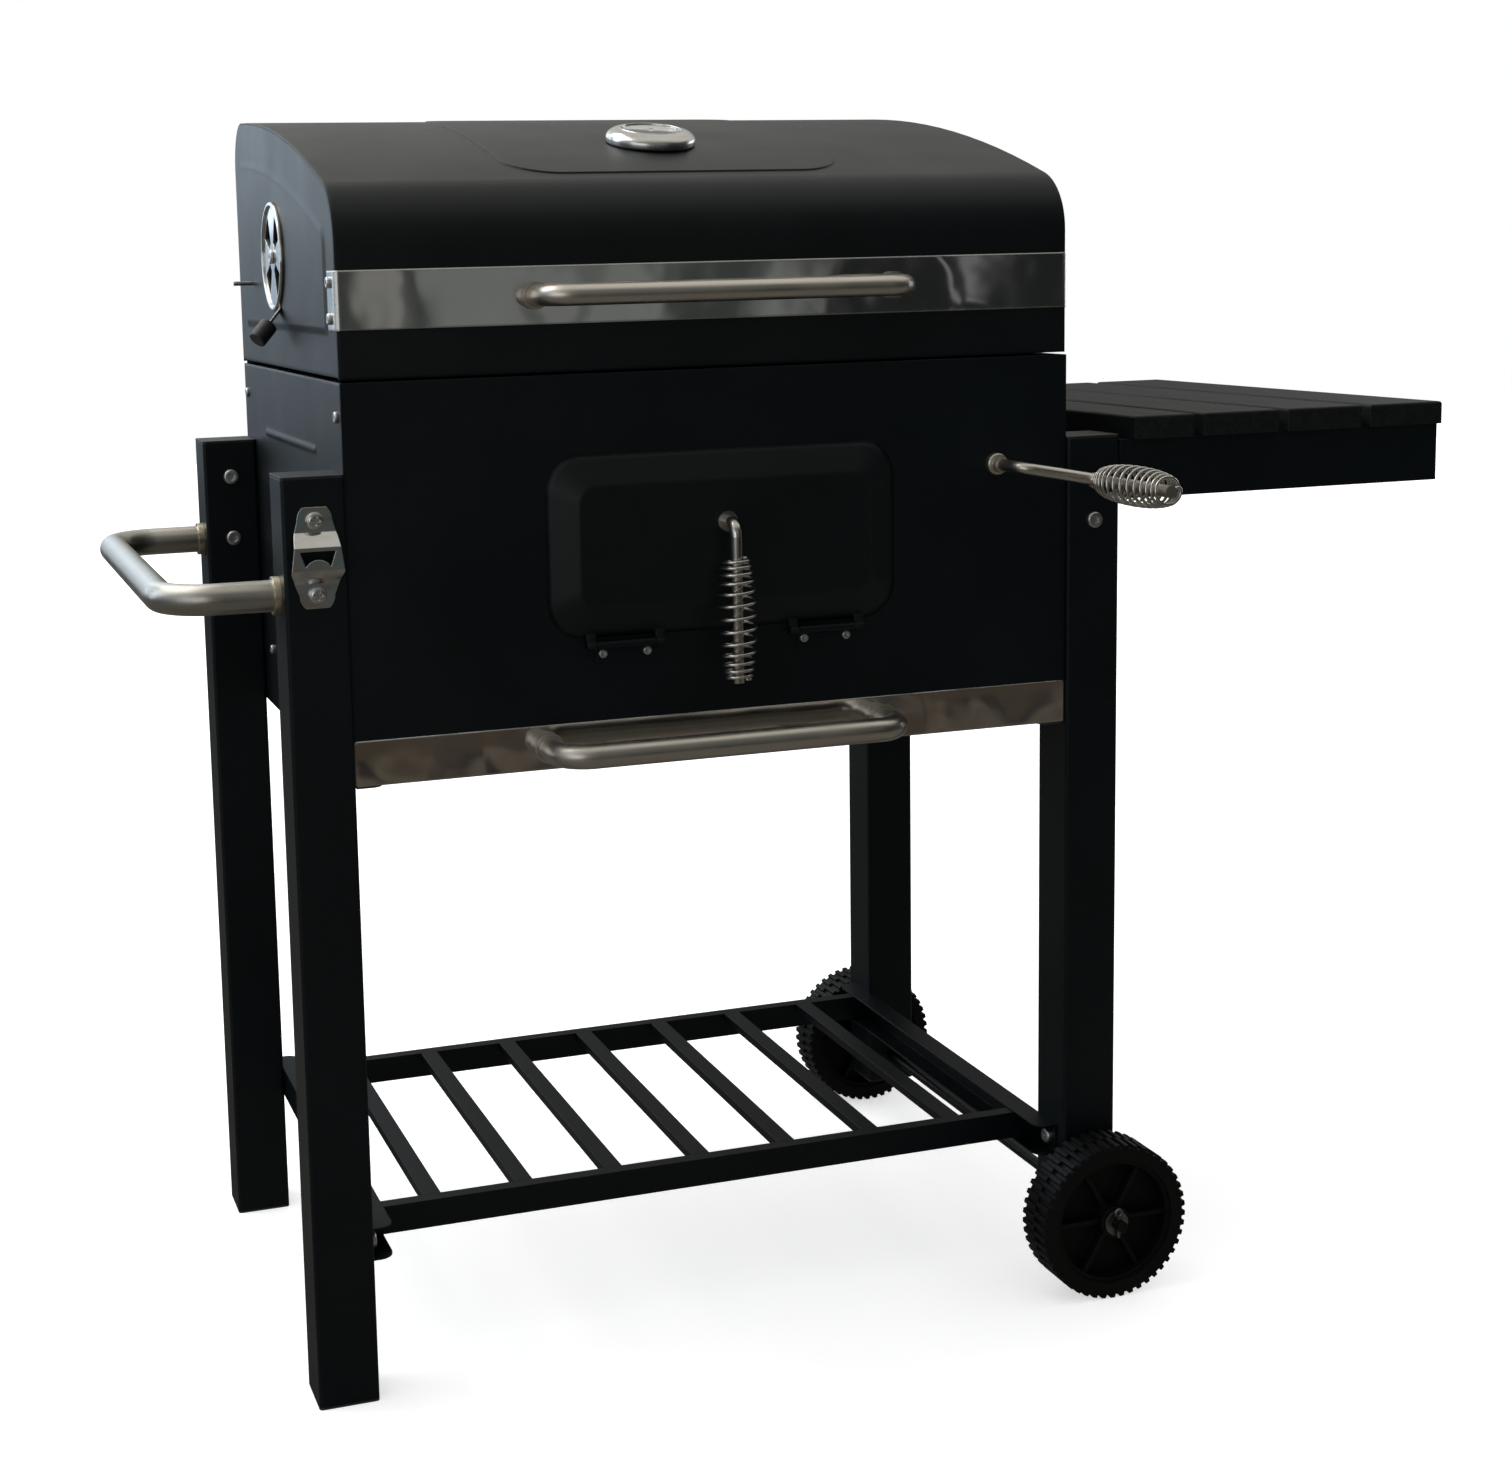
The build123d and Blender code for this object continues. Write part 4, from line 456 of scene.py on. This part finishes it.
# The grates and the warming rack are welded wire with bright plating.
# The rack hangs in the lid by two wire ends that come out through the lid's sides.
wire_plate = metal("wire_plate", (0.50, 0.50, 0.49), (0.62, 0.62, 0.61), rough=0.22, scratch=200.0,
                   strength=0.06)
dress(wire_plate, "cooking_grates", "warming_rack")

# The lid is one bent sheet with pressed ends, hinged at the back on two butt hinges.
# A polished strip wraps its front corners and carries the handle on two ferrules.
dress(pressed_coat, "lid_shell", "lid_ends")
dress(black_coat, "hinge_leaves_fixed", "hinge_leaves_lid")
dress(strip_steel("lid_steel", "lid_ferrules"), "lid_strip")
dress(satin_y, "lid_ferrules")
dress(satin_x, "lid_handle")

# The thermometer is a spun steel bezel over a plain dial and a glass, with its stem through the lid.
# The bezel is a broad round shoulder that ends in a thin rim round the glass.
gauge = next(j for j in frame["record"]["behaviour"]["joints"] if j["name"] == "gauge_turn")
gauge_up = np.array(gauge["axis"], float) / np.linalg.norm(gauge["axis"])
gauge_up = gauge_up if gauge_up[2] > 0 else -gauge_up
gauge_across = np.array([1.0, 0, 0])
gauge_back = np.cross(gauge_up, gauge_across)
foot_lift = 0.0012
gauge_foot = np.array(gauge["pos_m"], float) + foot_lift * gauge_up


def turned(name, radius, height, material, node):
    """A closed profile r(s), z(s) carried round the gauge's axis."""
    sides = 96
    angle = np.linspace(0, 2 * np.pi, sides, endpoint=False)[None, :, None]
    around = np.cos(angle) * gauge_across + np.sin(angle) * gauge_back
    points = gauge_foot + radius[:, None, None] * around + height[:, None, None] * gauge_up
    piece = mesh_piece(name, points, net(len(radius), sides, wrap_rows=True), material, "lid")
    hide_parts(node)


bezel_r, bezel_h, rim_r, shoulder_z, lip_half = 0.0389, 0.0130, 0.0270, 0.0040, 0.0006
stem_hole_r, well_h = 0.0042, 0.0030
foot_r = [stem_hole_r, bezel_r - 0.0012, bezel_r - 0.0002, bezel_r]
foot_h = [0, 0, 0.0008, 0.0022]
sweep = np.linspace(0, np.pi / 2, 26)[1:]
shoulder_r = rim_r + (bezel_r - rim_r) * np.cos(sweep)
shoulder_h = shoulder_z + (bezel_h - lip_half - shoulder_z) * np.sin(sweep)
roll = np.linspace(0, np.pi, 9)[1:]
lip_r = rim_r - lip_half * (1 - np.cos(roll))
lip_h = bezel_h - lip_half * (1 - np.sin(roll))
bezel_profile_r = np.concatenate([foot_r, shoulder_r, lip_r, [rim_r - 2 * lip_half, stem_hole_r]])
bezel_profile_h = np.concatenate([foot_h, shoulder_h, lip_h, [well_h, well_h]])
bezel_steel = polished_sheet("bezel_steel", rough=0.24, wave_scale=30.0, wave_depth=0.0003, wave_strength=0.2)
turned("gauge_dome", bezel_profile_r, bezel_profile_h, bezel_steel, "gauge_bezel")

dial_cloud_scale, dial_gloss_scale, glass_smear_scale = 90.0, 400.0, 60.0
dial, tree, shader, at = shader_of("dial")
dial_paint = tint(tree, noise(tree, at, dial_cloud_scale, detail=3.0), (0.50, 0.49, 0.47), (0.60, 0.59, 0.57))
tree.links.new(dial_paint, shader.inputs["Base Color"])
tree.links.new(spread(tree, noise(tree, at, dial_gloss_scale), 0.45, 0.6), shader.inputs["Roughness"])
dress(dial, "gauge_dial")
pointer = coat("pointer", (0.35, 0.02, 0.015), (0.45, 0.03, 0.02), worn=(0.50, 0.10, 0.08),
               rough=0.4, shine=0.5, peel=0.0001)
dress(pointer, "gauge_needle")

glass, tree, shader, at = shader_of("glass")
shader.inputs["Transmission Weight"].default_value = 1.0
shader.inputs["IOR"].default_value = 1.45
tree.links.new(spread(tree, noise(tree, at, glass_smear_scale), 0.02, 0.06), shader.inputs["Roughness"])
glass_r, glass_low, glass_rim, glass_crown, middle_r = 0.0262, 0.0104, 0.0118, 0.0006, 0.0002
share = np.linspace(0, 1, 12)
glass_side_r = np.concatenate([[middle_r], glass_r * share[1:]])
glass_top_h = glass_rim + glass_crown * (1 - share[::-1] ** 2)
glass_profile_r = np.concatenate([glass_side_r, glass_side_r[::-1]])
glass_profile_h = np.concatenate([np.full(share.size, glass_low), glass_top_h])
turned("gauge_lens", glass_profile_r, glass_profile_h, glass, "gauge_glass")

# Each vent is a polished disc with holes, on a rivet, turned by a black plastic knob on a bent tab.
# The disc lies flat on the pressed field of the lid's end.
vent_steel = polished_sheet("vent_steel", rough=0.13, wave_scale=34.0, wave_depth=0.0010, wave_strength=0.4)
dress(vent_steel, "vent_disc_left", "vent_disc_right")
knob_plastic = coat("knob_plastic", (0.008, 0.008, 0.009), (0.016, 0.016, 0.017), worn=(0.024, 0.024, 0.024),
                    rough=0.50, shine=0.50, peel=0.0004)
dress(knob_plastic, "vent_knob_left", "vent_knob_right")

# The grill stands on a floor of white paper, in front of a white backdrop.
# Both look white, straight and in reflections, and put no more than soft light on the grill.
scene = bpy.context.scene
floor_half = 9
floor_corners = [(-floor_half, -floor_half, 0), (floor_half, -floor_half, 0),
                 (floor_half, floor_half, 0), (-floor_half, floor_half, 0)]


def sheet_of(name, corners):
    """A flat object with four corners that belongs to the studio and not to the grill."""
    mesh = bpy.data.meshes.new(name)
    mesh.from_pydata(corners, [], [(0, 1, 2, 3)])
    board = bpy.data.objects.new(name, mesh)
    scene.collection.objects.link(board)
    return board


def looked_at(tree):
    """One for what the camera sees, straight, mirrored or through glass, and nought for light on surfaces."""
    path = tree.nodes.new("ShaderNodeLightPath")
    seen = path.outputs["Is Camera Ray"]
    for kind in ("Is Glossy Ray", "Is Transmission Ray"):
        either = tree.nodes.new("ShaderNodeMath")
        either.operation = "MAXIMUM"
        tree.links.new(seen, either.inputs[0])
        tree.links.new(path.outputs[kind], either.inputs[1])
        seen = either.outputs["Value"]
    return seen


paper, tree, shader, at = shader_of("paper")
paper_white = tint(tree, noise(tree, at, 3.0), (0.88, 0.88, 0.88), (0.92, 0.92, 0.92))
tree.links.new(paper_white, shader.inputs["Base Color"])
shader.inputs["Roughness"].default_value = 0.9
shader.inputs["Specular IOR Level"].default_value = 0.0
reach = tree.nodes.new("ShaderNodeVectorMath")
reach.operation = "LENGTH"
tree.links.new(at, reach.inputs[0])
far_off = spread(tree, reach.outputs["Value"], 0.55, 1.0, start=1.2, end=3.0)
shader.inputs["Emission Color"].default_value = (1.0, 1.0, 1.0, 1)
tree.links.new(times(tree, looked_at(tree), far_off), shader.inputs["Emission Strength"])
sheet_of("floor", floor_corners).data.materials.append(paper)

world = bpy.data.worlds.new("studio")
scene.world = world
world.use_nodes = True
backdrop = world.node_tree.nodes["Background"]
backdrop.inputs["Color"].default_value = (1.0, 1.0, 1.0, 1)
backdrop_strength = spread(world.node_tree, looked_at(world.node_tree), 0.55, 1.0, start=0.0, end=1.0)
world.node_tree.links.new(backdrop_strength, backdrop.inputs["Strength"])

# Six cards stand round the grill as a workshop's walls, floor and ceiling would.
# They show only in reflections, which give the polished strips and the coat something to mirror.
near_left, near_right, far_right, far_left = (-3.2, -2.6), (3.4, -2.6), (3.4, 3.4), (-3.2, 3.4)
card_above_floor, ceiling_z = 0.001, 3.0


def upright(start, end):
    """The corners of a wall between two points on the floor."""
    return [(*start, 0), (*end, 0), (*end, ceiling_z), (*start, ceiling_z)]


def level(height):
    """The corners of a floor or ceiling at a height."""
    return [(*corner, height) for corner in (near_left, near_right, far_right, far_left)]


def card(name, corners, paint):
    """A studio card that only shows in reflections, with its own uneven tone."""
    board = sheet_of(name, corners)
    material, tree, shader, at = shader_of(name)
    tree.links.new(paint(tree, at), shader.inputs["Emission Color"])
    shader.inputs["Emission Strength"].default_value = 1.0
    shader.inputs["Base Color"].default_value = (0, 0, 0, 1)
    shader.inputs["Specular IOR Level"].default_value = 0.0
    board.data.materials.append(material)
    board.visible_camera = False
    board.visible_diffuse = False
    board.visible_shadow = False
    board.visible_transmission = False


def rising(tree, at, axis, start, end):
    """Nought before start and one after end, along one of the three axes."""
    node = tree.nodes.new("ShaderNodeSeparateXYZ")
    tree.links.new(at, node.inputs["Vector"])
    return spread(tree, node.outputs[axis], 0.0, 1.0, start, end)


def falling(tree, at, axis, start, end):
    """One before start and nought after end, along one of the three axes."""
    return rising(tree, at, axis, end, start)


def room_front(tree, at):
    """Behind the camera: a window on the left, and a line of shelves that ends in dark with bright gaps."""
    streaks = noise(tree, at, 4.2, stretch=(1.3, 1, 0.5), swirl=0.6)
    wall = tint(tree, streaks, (0.052, 0.057, 0.055), (0.19, 0.20, 0.195), start=0.42, end=0.56)
    door = times(tree, rising(tree, at, "X", 0.12, 0.135), falling(tree, at, "X", 0.17, 0.185))
    wall = blended(tree, door, wall, (0.25, 0.25, 0.235))
    swirls = noise(tree, at, 4.6, detail=1.0, rough=0.4, stretch=(1, 1, 0.9), swirl=2.2)
    things = tint(tree, swirls, (0.018, 0.020, 0.020), (0.23, 0.23, 0.235), start=0.56, end=0.61)
    shelves = blended(tree, rising(tree, at, "X", 0.95, 1.15), wall, things)
    shade = blended(tree, rising(tree, at, "X", 0.25, 1.0), (0.064, 0.088, 0.098), (0.002, 0.003, 0.003))
    shade = blended(tree, falling(tree, at, "X", 0.0, 0.12), shade, (0.085, 0.080, 0.068))
    low_wall = blended(tree, rising(tree, at, "Z", 0.08, 0.25), (0.062, 0.050, 0.037), shade)
    high_wall = blended(tree, rising(tree, at, "X", 0.7, 1.4), (0.17, 0.165, 0.15), (0.030, 0.032, 0.034))
    bare_wall = blended(tree, rising(tree, at, "Z", 1.10, 1.40), low_wall, high_wall)
    shelf_line = times(tree, rising(tree, at, "Z", 0.68, 0.75), falling(tree, at, "Z", 0.97, 1.05))
    room = blended(tree, shelf_line, bare_wall, shelves)
    sill_to_head = times(tree, rising(tree, at, "Z", 0.30, 0.50), falling(tree, at, "Z", 2.0, 2.3))
    window = times(tree, sill_to_head, falling(tree, at, "X", -1.5, -1.2))
    return blended(tree, window, room, (1.10, 1.10, 1.08))


def room_ground(tree, at):
    """A workshop floor, brown towards the camera and grey under the grill."""
    boards = noise(tree, at, 4.6, stretch=(1, 0.6, 1), swirl=1.8)
    brown = tint(tree, boards, (0.028, 0.026, 0.025), (0.125, 0.104, 0.080), start=0.42, end=0.58)
    grey = tint(tree, boards, (0.085, 0.080, 0.070), (0.16, 0.152, 0.136), start=0.38, end=0.64)
    return blended(tree, rising(tree, at, "Y", -2.2, -1.7), brown, grey)


def room_back(tree, at):
    """The far wall: dark near the ground, cool panes to the left, warm grey above and to the right."""
    panes = noise(tree, at, 4.0, detail=1.0, rough=0.4, stretch=(1, 1, 1.8))
    panes = tint(tree, panes, (0.66, 0.82, 0.98), (1.98, 2.30, 2.58), start=0.44, end=0.52)
    pale = blended(tree, rising(tree, at, "X", 0.6, 2.2), (0.68, 0.68, 0.63), (0.34, 0.34, 0.315))
    plain = blended(tree, rising(tree, at, "Z", 0.9, 2.5), (0.026, 0.029, 0.031), pale)
    upper = blended(tree, rising(tree, at, "X", -1.0, 0.2), panes, plain)
    return blended(tree, rising(tree, at, "Z", 0.32, 1.25), (0.024, 0.026, 0.028), upper)


def room_left(tree, at):
    """The wall on the left, grey, with a tall window towards the camera."""
    wall = blended(tree, rising(tree, at, "Z", 0.3, 1.6), (0.030, 0.032, 0.034), (0.34, 0.38, 0.42))
    window = times(tree, falling(tree, at, "Y", -1.45, -1.25), rising(tree, at, "Z", 0.326, 0.456))
    return blended(tree, window, wall, (0.95, 1.0, 1.05))


def room_right(tree, at):
    """The wall on the right, in shade towards the camera and lit by a window further back."""
    wall = tint(tree, noise(tree, at, 1.0), (0.015, 0.017, 0.018), (0.07, 0.07, 0.068), start=0.35, end=0.65)
    window = times(tree, rising(tree, at, "Y", 0.1, 0.5), rising(tree, at, "Z", 0.5, 1.1))
    return blended(tree, window, wall, (0.55, 0.57, 0.58))


def room_top(tree, at):
    """The ceiling, darker over the camera."""
    clouds = tint(tree, noise(tree, at, 0.8), (0.60, 0.59, 0.55), (0.70, 0.69, 0.64), start=0.35, end=0.65)
    over_camera = blended(tree, rising(tree, at, "X", 0.2, 1.2), (0.21, 0.22, 0.22), (0.05, 0.052, 0.052))
    return blended(tree, rising(tree, at, "Y", -2.4, -0.8), over_camera, clouds)


card("room_front", upright(near_left, near_right), room_front)
card("room_ground", level(card_above_floor), room_ground)
card("room_back", upright(far_left, far_right), room_back)
card("room_left", upright(near_left, far_left), room_left)
card("room_right", upright(near_right, far_right), room_right)
card("room_top", level(ceiling_z), room_top)


# The light is soft: a broad warm lamp overhead, a cool one from the left and a faint one from the right.
# Each is a rectangle that faces the grill.
def lamp(name, place, aim, size, power, colour):
    """A soft area light that faces its aim."""
    data = bpy.data.lights.new(name, "AREA")
    data.shape = "RECTANGLE"
    data.size, data.size_y = size
    data.energy = power
    data.color = colour
    lamp_object = bpy.data.objects.new(name, data)
    lamp_object.location = place
    lamp_object.rotation_euler = (Vector(aim) - Vector(place)).to_track_quat("-Z", "Y").to_euler()
    scene.collection.objects.link(lamp_object)


lamp("key", (-1.0, 0.6, 2.9), aim=(0, 0, 0.7), size=(2.4, 2.4), power=50.0, colour=(1.0, 0.98, 0.95))
lamp("far", (3.0, 1.1, 1.1), aim=(0.2, 0.1, 0.7), size=(1.6, 1.6), power=16.0, colour=(1.0, 0.99, 0.97))
lamp("side", (-3.0, 1.2, 1.6), aim=(-0.3, 0.1, 0.7), size=(1.6, 2.2), power=20.0, colour=(0.80, 0.90, 1.0))

# The camera stands where the photograph was taken: left of the grill's middle, at the lid's height.
# Its place, turn, focal length and optical axis come from the photograph's straight edges.
image_w, image_h, focal_px, axis_px_x, axis_px_y = 1512, 1474, 2258.1, 575.8, 578.0
lens = bpy.data.cameras.new("photo")
lens.sensor_fit = "HORIZONTAL"
lens.sensor_width = 36.0
lens.lens = lens.sensor_width * focal_px / image_w
lens.shift_x = (image_w / 2 - axis_px_x) / image_w
lens.shift_y = (axis_px_y - image_h / 2) / image_w
yaw, pitch, tilt = 0.302, 0.139, -0.025
ahead = Vector((math.sin(yaw) * math.cos(pitch), math.cos(yaw) * math.cos(pitch), -math.sin(pitch)))
right = Vector((math.cos(yaw), -math.sin(yaw), 0))
top = right.cross(ahead)
right_tilted = math.cos(tilt) * right + math.sin(tilt) * top
top_tilted = math.cos(tilt) * top - math.sin(tilt) * right
turn = Matrix((right_tilted, top_tilted, -ahead)).transposed().to_4x4()
low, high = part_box("front_panel")
middle_x, front_y = (low[0] + high[0]) / 2, low[1]
camera_left, camera_off, camera_height = 0.6619, 1.7143, 0.9180
camera = bpy.data.objects.new("photo", lens)
camera.matrix_world = Matrix.Translation((middle_x - camera_left, front_y - camera_off, camera_height)) @ turn
scene.collection.objects.link(camera)
scene.camera = camera
scene.view_settings.view_transform = "Standard"
